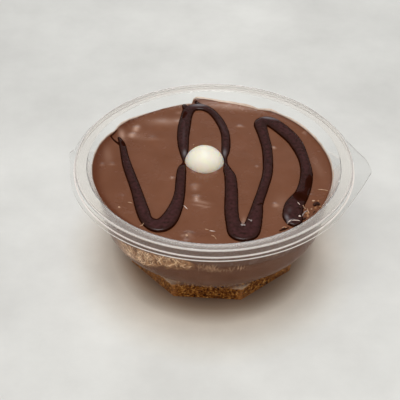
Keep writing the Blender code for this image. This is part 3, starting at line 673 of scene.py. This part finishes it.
def tab_plate(name, outline):
    """A flat plate with the given outer edge, whose inner edge is an arc in the flange."""
    final = Vector(outline[-1])
    start = math.atan2(final.y, final.x)
    sweep = -Vector((math.cos(start), math.sin(start))).angle_signed(Vector(outline[0]))
    angles = [start + sweep * step / TAB_STEPS for step in range(TAB_STEPS + 1)]
    inner = [Vector((math.cos(angle), math.sin(angle))) * TAB_INNER_RADIUS for angle in angles]
    points = [Vector(corner) for corner in outline] + inner
    curve = bpy.data.curves.new(name, "CURVE")
    curve.dimensions = "2D"
    curve.fill_mode = "BOTH"
    curve.extrude = WALL / 2
    spline = curve.splines.new("POLY")
    spline.points.add(len(points) - 1)
    for corner, point in zip(spline.points, points):
        corner.co = (point.x, point.y, 0.0, 1.0)
    spline.use_cyclic_u = True
    bm = bmesh.new()
    bm.from_mesh(final_mesh(link(name + "_outline", curve)))
    bmesh.ops.remove_doubles(bm, verts=bm.verts, dist=MERGE_DISTANCE)
    bmesh.ops.translate(bm, vec=(0.0, 0.0, FLANGE_TOP - WALL / 2), verts=bm.verts)
    return from_bmesh(name, bm)


def face_finish(face):
    """Name of the finish of a face of the tub."""
    radius = math.hypot(face.center.x, face.center.y)
    if radius > FLANGE_EDGE and abs(face.normal.z) < 0.5:
        return "frosted_plastic"
    for name, least, most, low, high in TUB_FINISHES:
        if name == "misty_plastic" and face.center.y > MISTY_END:
            continue
        if least < radius < most and low < face.center.z < high:
            return name
    return "clear_plastic"


def build_tub():
    """Clear plastic, wetted where it is filled, a little hazy on the ledge and frosted along its edges."""
    upper = SECTION[:-1] + [Vector((TUB_SECTION[-2][0] + FROST_LINE, FLANGE_TOP)), SECTION[-1]]
    ring = turned("tub_ring", upper + offset_right(upper, WALL)[::-1], closed=True)
    foot = foot_block("foot_block", 0.0, FOOT_HEIGHT, 0.0, FOOT_BEVEL)
    tabs = [tab_plate("lift_tab", LIFT_TAB), tab_plate("thumb_tab", THUMB_TAB)]
    hollow = foot_block("foot_hollow", WALL, FOOT_HEIGHT - WALL, WALL, FOOT_BEVEL)
    mouth = turned("foot_mouth", ((0.0, FOOT_HEIGHT + WALL), (MOUTH_RADIUS, FOOT_HEIGHT + WALL),
                                  (MOUTH_RADIUS, FOOT_HEIGHT / 2), (0.0, FOOT_HEIGHT / 2)))
    others = [foot, *tabs, hollow, mouth]
    for other in others:
        boolean = ring.modifiers.new(other.name, "BOOLEAN")
        boolean.operation = "DIFFERENCE" if other in (hollow, mouth) else "UNION"
        boolean.solver = "EXACT"
        boolean.object = other
    tub = link("clear_tub", final_mesh(ring, *others))
    finishes = {name: plastic(name, *values) for name, values in TUB_PLASTICS.items()}
    finish_piece(tub, "clear_plastic", "bowl", *finishes.values())
    tub.data.set_sharp_from_angle(angle=SHARP_ANGLE)
    for face in tub.data.polygons:
        face.material_index = list(finishes).index(face_finish(face))


# ---------------------------------------------------------------- filling
def from_front(x, y):
    """Azimuth of a point from the front of the tub, in degrees, positive to the right."""
    return math.degrees(math.atan2(x, -y))


def heap_share(x, y):
    """1 in the middle of the strand heap, falling to 0 away from it."""
    distance = math.hypot(x - STRAND_HEAP[0], y - STRAND_HEAP[1])
    return math.exp(-0.5 * (distance / STRAND_HEAP_SPREAD) ** 2)


def ripple(x, y, size, height, seed):
    return height * noise.noise(Vector((x / size, y / size, seed)))


def cream_top(x, y):
    return CREAM_TOP - STRAND_HEAP_DIP * heap_share(x, y) + ripple(x, y, *CREAM_RIPPLE)


def strand_top(x, y):
    thickness = max(STRAND_LEAST, STRAND_THICKNESS - STRAND_TAPER * x)
    beside = (from_front(x, y) - STRAND_CREST_AZIMUTH) / STRAND_CREST_WIDTH
    crest = STRAND_CREST * math.exp(-beside ** 2) * (math.hypot(x, y) / STRAND_CREST_RADIUS) ** 2
    return cream_top(x, y) + thickness + STRAND_HEAP_RISE * heap_share(x, y) + crest


def chocolate_surface(x, y):
    """Height of the milk chocolate, which meets the wall at an uneven line."""
    flat = CHOCOLATE_LEVEL + CHOCOLATE_TILT * x + ripple(x, y, *CHOCOLATE_RIPPLE)
    outwards = math.hypot(x, y) / wall_radius(flat)
    share = max(0.0, (outwards - CLIMB_START) / (1 - CLIMB_START)) ** CLIMB_POWER
    return flat + min(1.0, share) * (edge_height(math.degrees(math.atan2(y, x))) - flat)


def chocolate_top(x, y):
    """The same surface with its soft bumps."""
    bumps = sum(0.001 * height * math.exp(-((1000 * x - bx) ** 2 + (1000 * y - by) ** 2) / radius ** 2)
                for bx, by, radius, height in BUMPS if abs(1000 * x - bx) < 3 * radius)
    dx, dy = x - BALL_CENTRE.x, y - BALL_CENTRE.y
    apart = abs(math.hypot(dx, dy) - BALL_RADIUS) / BALL_COLLAR_WIDTH
    collar = 0.0
    if apart < 3.0:
        collar = 0.001 * interpolate(BALL_COLLAR, math.degrees(math.atan2(dy, dx))) * math.exp(-apart ** 2)
    return chocolate_surface(x, y) + bumps + collar


def drum(name, rings, side_levels, segments, lower, upper):
    """A round body between two uneven surfaces that reaches just into the tub's wall."""
    section = [(index / rings, 1.0) for index in range(rings + 1)]
    section += [(1.0, 1.0 - level / side_levels) for level in range(1, side_levels)]
    section += [(ring, 0.0) for ring in DRUM_UNDERSIDE]
    mesh = final_mesh(turned(name + "_unit", section, segments))
    for vertex in mesh.vertices:
        out = math.hypot(vertex.co.x, vertex.co.y)
        azimuth = math.atan2(vertex.co.y, vertex.co.x)
        share = vertex.co.z
        radius = DRUM_FIRST_RADIUS * out
        for _ in range(3):
            x, y = radius * math.cos(azimuth), radius * math.sin(azimuth)
            height = lower(x, y) * (1 - share) + upper(x, y) * share
            radius = (wall_radius(height) + REACH) * out
        vertex.co = (radius * math.cos(azimuth), radius * math.sin(azimuth), height)
    return link(name, mesh)


def crumb_share(point):
    """1 where crumb clings to the lowest part of the cream, 0 above its uneven edge."""
    edge = CLING_HEIGHT + CLING_RAGGED * noise.noise(Vector((point.x, point.y, 0.0)) / CLING_SIZE)
    return clamp(0.5 + (edge - point.z) / CLING_FADE)


def build_cream():
    cream = drum("chocolate_cream", 6, 40, CREAM_SEGMENTS, lambda x, y: CREAM_BOTTOM, cream_top)
    material = food_material("chocolate_cream")
    grain = object_noise(material.node_tree, CRUMB_GRAIN, 3.0, 0.6)
    clinging = [crumb_share(vertex.co) for vertex in cream.data.vertices]
    paint(cream, material, "crumb", clinging, ramp(material.node_tree, grain, CRUMB_STOPS))
    finish_piece(cream, "chocolate_cream", "cream_layer", material)


def patch_depth(azimuth, height):
    """How far inside the bare patch a point of the wall lies, in millimetres; negative outside."""
    across, up = azimuth * MILLIMETRES_PER_DEGREE, 1000 * height
    corners = [(angle * MILLIMETRES_PER_DEGREE, level) for angle, level in BARE_PATCH]
    inside = False
    nearest = 1000.0
    for (ax, ay), (bx, by) in zip(corners, corners[1:] + corners[:1]):
        if (ay > up) != (by > up) and across < (bx - ax) * (up - ay) / (by - ay) + ax:
            inside = not inside
        along = clamp(((across - ax) * (bx - ax) + (up - ay) * (by - ay)) / ((bx - ax) ** 2 + (by - ay) ** 2))
        nearest = min(nearest, math.hypot(across - ax - along * (bx - ax), up - ay - along * (by - ay)))
    return nearest if inside else -nearest


def bareness(point):
    """1 where the strands on the wall are bare, 0 where they are soaked in chocolate."""
    ragged = BARE_RAGGED * noise.noise(point / BARE_RAGGED_SIZE)
    return clamp(0.5 + (patch_depth(from_front(point.x, point.y), point.z) + ragged) / BARE_FADE)


def smear(point):
    """How much of the smooth pale cream lies on the wall at a point, at the lower left of the bare patch."""
    across = (from_front(point.x, point.y) - SMEAR_AZIMUTH) / SMEAR_WIDTH
    up = (point.z - SMEAR_HEIGHT) / SMEAR_RISE
    return SMEAR_STRENGTH * math.exp(-across ** 2 - up ** 2)


def build_strand_core():
    """The body of the strand layer: bare strands in the heap, soaked in chocolate elsewhere."""
    core = drum("strand_core", 6, 40, CHOCOLATE_SEGMENTS, cream_top, strand_top)
    points = [vertex.co.copy() for vertex in core.data.vertices]
    material = food_material("strand_core")
    bare = ramp(material.node_tree, object_noise(material.node_tree, *BARE_GRAIN), BARE_STOPS)
    paint(core, material, "bare", [bareness(point) for point in points], bare)
    paint(core, material, "smear", [smear(point) for point in points], SMEAR_COLOUR)
    finish_piece(core, "kunafa_strands", "strand_layer", material)


def tube_mesh(paths, sides=6):
    """Thin rods along paths of (point, outward direction, radius), with closed ends."""
    points = []
    faces = []
    for path in paths:
        first = len(points)
        last = len(path) - 1
        for index, (centre, outward, radius) in enumerate(path):
            ahead = path[min(index + 1, last)][0] - path[max(index - 1, 0)][0]
            across = ahead.cross(outward).normalized()
            for turn in range(sides):
                angle = 2 * math.pi * turn / sides
                points.append(centre + (outward * math.sin(angle) + across * math.cos(angle)) * radius)
        for index in range(last):
            for turn in range(sides):
                here = first + index * sides + turn
                beside = first + index * sides + (turn + 1) % sides
                faces.append((here, beside, beside + sides, here + sides))
        faces.append(tuple(first + turn for turn in reversed(range(sides))))
        faces.append(tuple(first + last * sides + turn for turn in range(sides)))
    return points, faces


def wall_strand(azimuth, height, lean, lengths, draw):
    """A strand pressed against the inside of the wall, drifting off its first heading."""
    azimuth = math.radians(azimuth - 90)
    heading = math.radians(90 + draw.choice((-1, 1)) * draw.gauss(*lean))
    steps = max(3, round(draw.uniform(*lengths) / STRAND_STEP))
    radius = draw.uniform(*STRAND_RADII)
    bend = draw.uniform(-STRAND_BEND, STRAND_BEND)
    sink = draw.uniform(*STRAND_SINK)
    path = []
    for step in range(steps + 1):
        taper = min(1.0, 0.35 + 0.5 * min(step, steps - step))
        out = wall_radius(height) + REACH - radius * sink
        outward = Vector((math.cos(azimuth), math.sin(azimuth), 0.0))
        path.append((outward * out + Vector((0.0, 0.0, height)), outward, radius * taper))
        azimuth += math.cos(heading) * STRAND_STEP / out
        height += math.sin(heading) * STRAND_STEP
        heading += bend * draw.uniform(0.2, 1.0)
    return path


def bare_strands(draw):
    """Short crossing strands inside the bare patch."""
    paths = []
    azimuths, heights = zip(*BARE_PATCH)
    while len(paths) < BARE_STRANDS:
        azimuth = draw.uniform(min(azimuths), max(azimuths))
        height = 0.001 * draw.uniform(min(heights), max(heights))
        if patch_depth(azimuth, height) < BARE_MARGIN or height < STRANDS_LOWEST:
            continue
        path = wall_strand(azimuth, height, BARE_LEAN, BARE_LENGTHS, draw)
        kept = [step for step in path if patch_depth(from_front(*step[0].xy), step[0].z) > -BARE_MARGIN]
        if len(kept) > 2:
            paths.append(kept)
    return paths


def soaked_strands(draw):
    """Strands that show only faintly through the chocolate."""
    paths = []
    for middle, spread, low, high, count in SOAKED_PATCHES:
        for _ in range(count):
            azimuth = draw.uniform(middle - spread, middle + spread)
            height = draw.uniform(low, high)
            paths.append(wall_strand(azimuth, height, SOAKED_LEAN, SOAKED_LENGTHS, draw))
    return paths


def build_strands():
    """The fine strands that show through the wall, most of them in the heap at the left."""
    draw = random.Random(7)
    for name, food, paths in (("wall_strands", "pale_strands", bare_strands(draw)),
                              ("soaked_strands", "soaked_strands", soaked_strands(draw))):
        strands = from_points(name, *tube_mesh(paths))
        finish_piece(strands, "kunafa_strands", None, food_material(food))


def crumb_pit(point):
    """How deep the crumb's side is at a point, as a share: 0 on a grain, 1 between grains."""
    distances = noise.voronoi(point / CRUMB_SIZE)[0]
    gap = 1.0 - min(1.0, CRUMB_GAP * (distances[1] - distances[0]))
    hollow = max(0.0, noise.noise(point / (3 * CRUMB_SIZE)) + 0.1)
    gap_share, hollow_share = CRUMB_PIT_SHARES
    return gap_share * gap + hollow_share * hollow


def corner_light_share(x, y):
    """How much paler the crumb is at a point, by painted light: highlights along the foot's upright corners
    and light on its left side.
    """
    step = 2 * math.pi / FOOT_SIDES
    azimuth = math.atan2(y, x) - FOOT_TURN - math.pi / 2
    apart = (azimuth + step / 2) % step - step / 2
    corner = CRUMB_CORNER_HIGHLIGHT_SHARE * math.exp(-(math.hypot(x, y) * apart / CRUMB_CORNER_HIGHLIGHT_WIDTH) ** 2)
    beside = (from_front(x, y) - CRUMB_LEFT_LIGHT_AZIMUTH) / CRUMB_LEFT_LIGHT_WIDTH
    return corner + CRUMB_LEFT_LIGHT_SHARE * math.exp(-beside ** 2)


def foot_edge_highlight_share(point, high):
    """1 where the painted highlight lies in the corner along the foot's upper edge."""
    azimuth = from_front(point.x, point.y)
    for first, last in FOOT_EDGE_HIGHLIGHTS:
        ends = min(azimuth - first, last - azimuth) / FOOT_EDGE_HIGHLIGHT_FADE
        if ends > 0.0 and point.z > high - FOOT_EDGE_HIGHLIGHT_HEIGHT:
            return min(1.0, ends)
    return 0.0


def build_crumb():
    """Pressed crumb that fills the foot, with grains and pits all round its side."""
    low = WALL - CRUMB_REACH
    high = FOOT_HEIGHT - WALL + REACH
    block = foot_block("crumb_unit", low, high, low)
    bm = bmesh.new()
    bm.from_mesh(block.data)
    bpy.data.objects.remove(block)
    upright = [edge for edge in bm.edges if abs(edge.verts[0].co.z - edge.verts[1].co.z) > 0.001]
    bmesh.ops.subdivide_edges(bm, edges=upright, cuts=CRUMB_ROWS)
    level = [edge for edge in bm.edges if abs(edge.verts[0].co.z - edge.verts[1].co.z) < 0.00001]
    bmesh.ops.subdivide_edges(bm, edges=level, cuts=CRUMB_COLUMNS)
    for vertex in bm.verts:
        if low + 0.0001 < vertex.co.z < high - 0.0001:
            inwards = Vector((-vertex.co.x, -vertex.co.y, 0.0)).normalized()
            vertex.co += inwards * CRUMB_RELIEF * crumb_pit(vertex.co)
    bmesh.ops.triangulate(bm, faces=[face for face in bm.faces if len(face.verts) > 4])
    crumb = from_bmesh("kunafa_crumb", bm)
    points = [vertex.co.copy() for vertex in crumb.data.vertices]
    material = food_material("kunafa_crumb")
    # Painted highlights along the corners and painted light on the left side
    paint(crumb, material, "corner", [corner_light_share(*point.xy) for point in points], CRUMB_CORNER_HIGHLIGHT)
    # Painted highlight along the foot's upper edge
    paint(crumb, material, "foot_edge_highlight", [foot_edge_highlight_share(point, high) for point in points], FOOT_EDGE_HIGHLIGHT_COLOUR)
    finish_piece(crumb, "kunafa_crumb", "crumb_base", material)


def ring_shade_share(x, y):
    """1 at the wall, where the chocolate is darkened by painted shade, falling to 0 inwards."""
    inwards = 1000 * (wall_radius(CHOCOLATE_LEVEL) - math.hypot(x, y))
    width = interpolate(RING_SHADE_WIDTHS, math.degrees(math.atan2(y, x)))
    return math.exp(-(max(0.0, inwards) / width) ** 2)


def spots_share(x, y, spots):
    """How strongly a point lies in soft spots."""
    total = 0.0
    for bx, by, along, across, azimuth, strength in spots:
        dx, dy = 1000 * x - bx, 1000 * y - by
        turn = math.radians(azimuth)
        u = (dx * math.cos(turn) + dy * math.sin(turn)) / along
        v = (dy * math.cos(turn) - dx * math.sin(turn)) / across
        if u * u + v * v < 9.0:
            total += strength * math.exp(-(u * u + v * v))
    return min(1.0, total)


def build_chocolate():
    chocolate = drum("milk_chocolate", CHOCOLATE_RINGS, 30, CHOCOLATE_SEGMENTS, strand_top, chocolate_top)
    points = [vertex.co.copy() for vertex in chocolate.data.vertices]
    upper = [point.z > CHOCOLATE_LEVEL - CHOCOLATE_SIDE_DEPTH for point in points]
    material = food_material("milk_chocolate")
    paint(chocolate, material, "side", [float(not above) for above in upper], CHOCOLATE_SIDE)
    # Painted shade along the wall
    ring = [ring_shade_share(*point.xy) * above for point, above in zip(points, upper)]
    paint(chocolate, material, "ring", ring, RING_SHADE_COLOUR)
    # Painted shade in the darker patches; painted sheen and highlights, with a few paler swirls, in the pale
    # ones
    for name, spots, colour in (("deep", PAINTED_SHADE_SPOTS, PAINTED_SHADE), ("sheen_and_swirl", SHEEN_AND_SWIRLS, SHEEN_AND_SWIRL)):
        shares = [spots_share(*point.xy, spots) * above for point, above in zip(points, upper)]
        paint(chocolate, material, name, shares, colour)
    finish_piece(chocolate, "milk_chocolate", "chocolate_top", material)


# ---------------------------------------------------------------- drizzle
def smooth_route(points, spacing):
    """Points of a smooth line through a stroke's own points, evenly spaced."""
    rows = [Vector(point) * 0.001 for point in points]
    ends = [2 * rows[0] - rows[1]] + rows + [2 * rows[-1] - rows[-2]]
    fine = []
    for before, start, end, after in zip(ends, ends[1:], ends[2:], ends[3:]):
        steps = max(1, round((end - start).length / spacing))
        for step in range(steps):
            t = step / steps
            fine.append(0.5 * (2 * start + (end - before) * t
                               + (2 * before - 5 * start + 4 * end - after) * t ** 2
                               + (3 * start - before - 3 * end + after) * t ** 3))
    fine.append(rows[-1])
    return fine


DRIZZLE_ROUTES = [point for stroke in STROKES for point in smooth_route(stroke, DRIZZLE_SPACING)]


def drizzle_rise(x, y):
    """Height of the drizzle's back over the milk chocolate at one point, 0 beside it."""
    best = max((width / 2) ** 2 - (x - px) ** 2 - (y - py) ** 2 for px, py, width in DRIZZLE_ROUTES)
    return DRIZZLE_HEIGHT * math.tanh(DRIZZLE_STEEPNESS * math.sqrt(max(best, 0.0)) / DRIZZLE_HEIGHT)


def topping_level(x, y):
    """Height of whatever is on top at a point: milk chocolate or drizzle."""
    return max(chocolate_top(x, y), chocolate_surface(x, y) + drizzle_rise(x, y))


def drizzle_grid():
    """A square grid, with the height of the drizzle's back and the distance inside its outline."""
    line = np.linspace(-DRIZZLE_SPAN, DRIZZLE_SPAN, round(2 * DRIZZLE_SPAN / DRIZZLE_CELL) + 1)
    across, along = np.meshgrid(line, line)
    inside = np.full(across.shape, -1.0)
    depth = np.full(across.shape, -1.0)
    for x, y, width in DRIZZLE_ROUTES:
        apart = (across - x) ** 2 + (along - y) ** 2
        inside = np.maximum(inside, (width / 2) ** 2 - apart)
        depth = np.maximum(depth, width / 2 - np.sqrt(apart))
    half_chord = np.sign(inside) * np.sqrt(np.abs(inside))
    height = DRIZZLE_HEIGHT * np.tanh(DRIZZLE_STEEPNESS * half_chord / DRIZZLE_HEIGHT)
    return across, along, height, depth


def build_drizzle():
    """The poured lines of dark chocolate, as one surface that dips into the milk chocolate."""
    across, along, height, depth = drizzle_grid()
    shown = height > -DRIZZLE_DIP * DRIZZLE_HEIGHT
    cells = shown[:-1, :-1] | shown[:-1, 1:] | shown[1:, :-1] | shown[1:, 1:]
    used = np.zeros(across.shape, bool)
    for rows in (slice(None, -1), slice(1, None)):
        for columns in (slice(None, -1), slice(1, None)):
            used[rows, columns] |= cells
    numbers = np.full(across.shape, -1)
    numbers[used] = np.arange(used.sum())
    places = list(zip(across[used], along[used]))
    points = []
    for (x, y), rise in zip(places, height[used]):
        level = chocolate_surface(x, y)
        pull = min(1.0, (wall_radius(level + max(rise, 0.0)) + REACH) / math.hypot(x, y))
        points.append((x * pull, y * pull, level + rise))
    corners = [numbers[:-1, :-1], numbers[:-1, 1:], numbers[1:, 1:], numbers[1:, :-1]]
    faces = np.stack([corner[cells] for corner in corners], axis=1).tolist()
    drizzle = from_points("dark_drizzle", points, faces)
    depth = depth[used]
    # Painted reflection on the paler middle of each line, broken up by mottle
    core = np.clip((depth - DRIZZLE_REFLECTION_START) / DRIZZLE_REFLECTION_FADE, 0.0, 1.0)
    mottle = [DRIZZLE_MOTTLE_MIDDLE + noise.noise(Vector((x, y, 0.0)) / DRIZZLE_MOTTLE) for x, y in places]
    # Painted shade in folds and along the sides; the painted sheens spare the sides
    fold_shade = [spots_share(x, y, DRIZZLE_SHADE_SPOTS) for x, y in places]
    glint = np.array([spots_share(x, y, GLINTS) for x, y in places])
    edge = np.clip(1.5 - 1.5 * depth / DRIZZLE_EDGE, 0.0, 1.0) * (1.0 - glint)
    material = food_material("dark_chocolate")
    paint(drizzle, material, "core", np.clip(core * mottle, 0.0, 1.0), DRIZZLE_REFLECTION_COLOUR)
    paint(drizzle, material, "fold_shade", fold_shade, DRIZZLE_SHADE_COLOUR)
    paint(drizzle, material, "glint", glint, GLINT)
    paint(drizzle, material, "edge", edge, DRIZZLE_SHADE_COLOUR)
    dull = material.copy()
    dull.name = "dark_chocolate_side"
    set_inputs(dull.node_tree.nodes["Principled BSDF"], {"Specular IOR Level": 0.0})
    finish_piece(drizzle, "dark_chocolate", None, material, dull)
    dulled = [near < DRIZZLE_EDGE or deep > DRIZZLE_DULL_FOLD for near, deep in zip(depth, fold_shade)]
    for face in drizzle.data.polygons:
        leaning = face.normal.y > DRIZZLE_DULL_TILT
        face.material_index = int(leaning or all(dulled[corner] for corner in face.vertices))


def lump(size, seed, stretch):
    """The points and faces of a small uneven body round the origin."""
    bm = bmesh.new()
    bmesh.ops.create_icosphere(bm, subdivisions=3, radius=size / 2)
    for vertex in bm.verts:
        place = vertex.co / (LUMP_UNEVEN * size) + Vector((seed, 0.0, 0.0))
        uneven = 1 + LUMP_UNEVEN * noise.noise(place)
        vertex.co = Vector((vertex.co.x * stretch, vertex.co.y, vertex.co.z * LUMP_HEIGHT)) * uneven
    bm.verts.index_update()
    points = [vertex.co.copy() for vertex in bm.verts]
    faces = [tuple(vertex.index for vertex in face.verts) for face in bm.faces]
    bm.free()
    return points, faces


def loose_crumbs(shade, draw):
    """Points and faces of the crumbs of one shade."""
    points = []
    faces = []
    for x, y, size in [row[:-1] for row in LOOSE_CRUMBS if row[-1] == shade]:
        x, y, size = 0.001 * x, 0.001 * y, 0.001 * size
        more_points, more_faces = lump(size, draw.uniform(0.0, 90.0), draw.uniform(*LUMP_STRETCH))
        place = Vector((x, y, topping_level(x, y) + size * (0.5 - LUMP_SINK)))
        turn = Matrix.Rotation(draw.uniform(0.0, math.pi), 3, "Z")
        faces += [tuple(number + len(points) for number in face) for face in more_faces]
        points += [place + turn @ point for point in more_points]
    return points, faces


def loose_strands(shade, draw):
    """Points and faces of the strands of one shade."""
    paths = []
    for x, y, length, azimuth in [row[:-1] for row in LOOSE_STRANDS if row[-1] == shade]:
        heading = math.radians(azimuth)
        bend = draw.uniform(-LOOSE_BEND, LOOSE_BEND)
        radius = draw.uniform(*LOOSE_RADII)
        steps = max(4, round(length / LOOSE_STEP))
        x = 0.001 * x - math.cos(heading) * 0.0005 * length
        y = 0.001 * y - math.sin(heading) * 0.0005 * length
        path = []
        for step in range(steps + 1):
            taper = min(1.0, 0.4 + 0.3 * min(step, steps - step))
            rise = topping_level(x, y) + radius * 0.5
            path.append((Vector((x, y, rise)), Vector((0.0, 0.0, 1.0)), radius * taper))
            x += math.cos(heading) * 0.001 * length / steps
            y += math.sin(heading) * 0.001 * length / steps
            heading += bend
        paths.append(path)
    return tube_mesh(paths)


def build_loose_bits():
    """Crumbs and short strands that lie on the chocolate and the drizzle."""
    draw = random.Random(11)
    for shade, stops in LOOSE_SHADES.items():
        for kind, build in (("crumbs", loose_crumbs), ("strands", loose_strands)):
            points, faces = build(shade, draw)
            if not points:
                continue
            name = f"{shade}_loose_{kind}"
            material = food_material(name, (stops, *LOOSE_FINISH))
            slot = LOOSE_SLOTS.get(shade, "kunafa_strands")
            finish_piece(from_points(name, points, faces), slot, None, material)


# ---------------------------------------------------------------- film and ball
def build_film():
    """The thin pale film that the milk chocolate left on the wall, above its edge, partly a painted highlight
    along the meniscus.
    """
    points = []
    faces = []
    edge_shades = []
    rows = len(FILM_SHARES)
    for step in range(FILM_STEPS):
        azimuth = 2 * math.pi * step / FILM_STEPS - math.pi
        degrees = math.degrees(azimuth)
        edge = edge_height(degrees)
        outward = Vector((math.cos(azimuth), math.sin(azimuth), 0.0))
        rise = 0.001 * interpolate(FILM_HEIGHTS, degrees) * (1 + 0.5 * noise.noise(outward * 9))
        film_shade_share = interpolate(FILM_SHADE_SHARES, degrees)
        for share in FILM_SHARES:
            level = edge - FILM_OVERLAP + (rise + FILM_OVERLAP) * share
            gap = FILM_THICKNESS * (1 - share)
            points.append(outward * (wall_radius(level) - gap) + Vector((0.0, 0.0, level)))
            edge_shades.append(film_shade_share * clamp((edge + FILM_DARK - level) / FILM_DARK))
        here, ahead = step * rows, (step + 1) % FILM_STEPS * rows
        for row in range(rows - 1):
            faces.append((ahead + row, here + row, here + row + 1, ahead + row + 1))
    film = from_points("milk_film_and_highlight", points, faces)
    material = food_material("milk_film_and_highlight")
    # Painted shade at the film's foot, along the chocolate's edge
    paint(film, material, "dark", edge_shades, FILM_SHADE_COLOUR)
    finish_piece(film, "milk_chocolate", None, material)


def build_ball():
    bm = bmesh.new()
    bmesh.ops.create_uvsphere(bm, u_segments=96, v_segments=64, radius=BALL_RADIUS)
    for vertex in bm.verts:
        vertex.co *= 1 + BALL_UNEVEN * noise.noise(vertex.co / BALL_UNEVEN_SIZE)
        vertex.co.x *= BALL_BROADER
    bmesh.ops.translate(bm, vec=BALL_CENTRE, verts=bm.verts)
    ball = from_bmesh("white_chocolate_ball", bm)
    material = food_material("white_chocolate")
    set_inputs(material.node_tree.nodes["Principled BSDF"], BALL_GLOW)
    # Painted warm shade on its lower part
    low_shade = [clamp((BALL_SHADE_TOP - vertex.co.z) / BALL_SHADE_DEPTH) for vertex in ball.data.vertices]
    paint(ball, material, "low", low_shade, BALL_LOW_SHADE_COLOUR)
    finish_piece(ball, "white_chocolate", "white_ball", material)


# ---------------------------------------------------------------- stage
def floor_shade(x, y):
    """How far out of the dessert's own shade a point of the floor is, from 0 to 1."""
    out = math.hypot(x * FLOOR_SHADE_NARROW, y)
    return clamp((out - FLOOR_SHADE_START) / (FLOOR_SHADE_END - FLOOR_SHADE_START))


def floor_glow(x, y):
    """How much brighter the floor is than even light makes it: light comes under the rim, most from -X."""
    out = max(math.hypot(x, y), 0.001)
    ring = math.exp(-((out - GLOW_RADIUS) / (GLOW_INNER if out < GLOW_RADIUS else GLOW_OUTER)) ** 2)
    spots = sum(change * math.exp(-((from_front(x, y) - azimuth) / wide) ** 2 - ((out - radius) / deep) ** 2)
                for azimuth, radius, wide, deep, change in FLOOR_LIGHT_SPOTS)
    far = FAR_DIM * clamp((out - FAR_START) / FAR_REACH)
    return 1.0 + ring * (GLOW_ALL + GLOW_LEFT * max(0.0, -x / out) ** 0.7) - far + spots


def build_floor():
    """A pale floor: a fine round middle, where the dessert stands, and a wide rest."""
    points = [(0.0, 0.0, 0.0)]
    faces = []
    for ring, radius in enumerate(FLOOR_RINGS):
        for step in range(FLOOR_SEGMENTS):
            azimuth = 2 * math.pi * step / FLOOR_SEGMENTS
            points.append((radius * math.cos(azimuth), radius * math.sin(azimuth), 0.0))
            here = 1 + ring * FLOOR_SEGMENTS + step
            ahead = 1 + ring * FLOOR_SEGMENTS + (step + 1) % FLOOR_SEGMENTS
            if ring == 0:
                faces.append((0, here, ahead))
            else:
                faces.append((here - FLOOR_SEGMENTS, here, ahead, ahead - FLOOR_SEGMENTS))
    floor = from_points("floor", points, faces)
    material, tree, shader = new_material("floor")
    places = [point[:2] for point in points]
    shade = stored(tree, floor.data, "shade", [floor_shade(*place) for place in places])
    glow = stored(tree, floor.data, "glow", [floor_glow(*place) for place in places])
    lit = tree.nodes.new("ShaderNodeVectorMath")
    lit.operation = "SCALE"
    set_inputs(lit, {0: ramp(tree, shade, FLOOR_SHADE), "Scale": glow})
    colour = ramp(tree, object_noise(tree, *FLOOR_GRAIN), FLOOR_STOPS)
    colour = colour_mix(tree, 1.0, colour, lit.outputs["Vector"], "MULTIPLY")
    set_inputs(shader, {"Base Color": colour, "Roughness": FLOOR_ROUGHNESS})
    floor.data.materials.append(material)


def build_lights():
    """A pale room that is dimmer behind the dessert, a soft lamp above it and a window far behind."""
    world = bpy.data.worlds.new("soft_room")
    bpy.context.scene.world = world
    world.use_nodes = True
    tree = world.node_tree
    direction = add_node(tree, "TexCoord").outputs["Generated"]
    backwards = add_node(tree, "SeparateXYZ", {"Vector": direction}).outputs["Y"]
    start, end = ROOM_TURN
    behind = add_node(tree, "MapRange", {"Value": backwards, "From Min": start, "From Max": end})
    colour = ramp(tree, behind.outputs["Result"], ((0.0, ROOM_FRONT), (1.0, ROOM_BACK)))
    set_inputs(tree.nodes["Background"], {"Color": colour})
    for name, place, width, depth, power, tint in LAMPS:
        lamp = bpy.data.lights.new(name, "AREA")
        lamp.shape = "ELLIPSE"
        lamp.size = width
        lamp.size_y = depth
        lamp.energy = power
        lamp.color = tint
        item = link(name, lamp)
        item.location = place
        item.rotation_euler = (TARGET - item.location).to_track_quat("-Z", "Y").to_euler()


def build_camera():
    """The photograph's view: the target falls on its pixel, with the camera's own small roll."""
    back = Vector((0.0, -math.cos(CAMERA_ELEVATION), math.sin(CAMERA_ELEVATION)))
    right = Vector((1.0, 0.0, 0.0))
    across, down = TARGET_PIXEL
    aim = Vector((across - IMAGE_SIZE / 2, IMAGE_SIZE / 2 - down, -FOCAL_PIXELS)).normalized()
    turn = Matrix.Rotation(-CAMERA_ROLL, 3, "Z") @ Matrix.Rotation(-math.atan2(aim.x, -aim.z), 3, "Y")
    turn = turn @ Matrix.Rotation(math.asin(aim.y), 3, "X")
    rotation = Matrix((right, back.cross(right), back)).transposed() @ turn.inverted()
    camera = bpy.data.cameras.new("camera")
    camera.sensor_width = SENSOR_WIDTH
    camera.lens = SENSOR_WIDTH * FOCAL_PIXELS / IMAGE_SIZE
    camera.clip_start = 0.01
    item = link("camera", camera)
    item.matrix_world = Matrix.Translation(TARGET + back * CAMERA_DISTANCE) @ rotation.to_4x4()
    bpy.context.scene.camera = item


def build_view():
    scene = bpy.context.scene
    scene.view_settings.view_transform = "Standard"
    scene.view_settings.look = "None"
    scene.cycles.use_denoising = True
    scene.cycles.max_bounces = 16
    scene.cycles.transmission_bounces = 14
    scene.cycles.transparent_max_bounces = 16


build_camera()
build_view()
build_lights()
build_floor()
build_tub()
build_crumb()
build_cream()
build_strand_core()
build_strands()
build_chocolate()
build_drizzle()
build_loose_bits()
build_film()
build_ball()
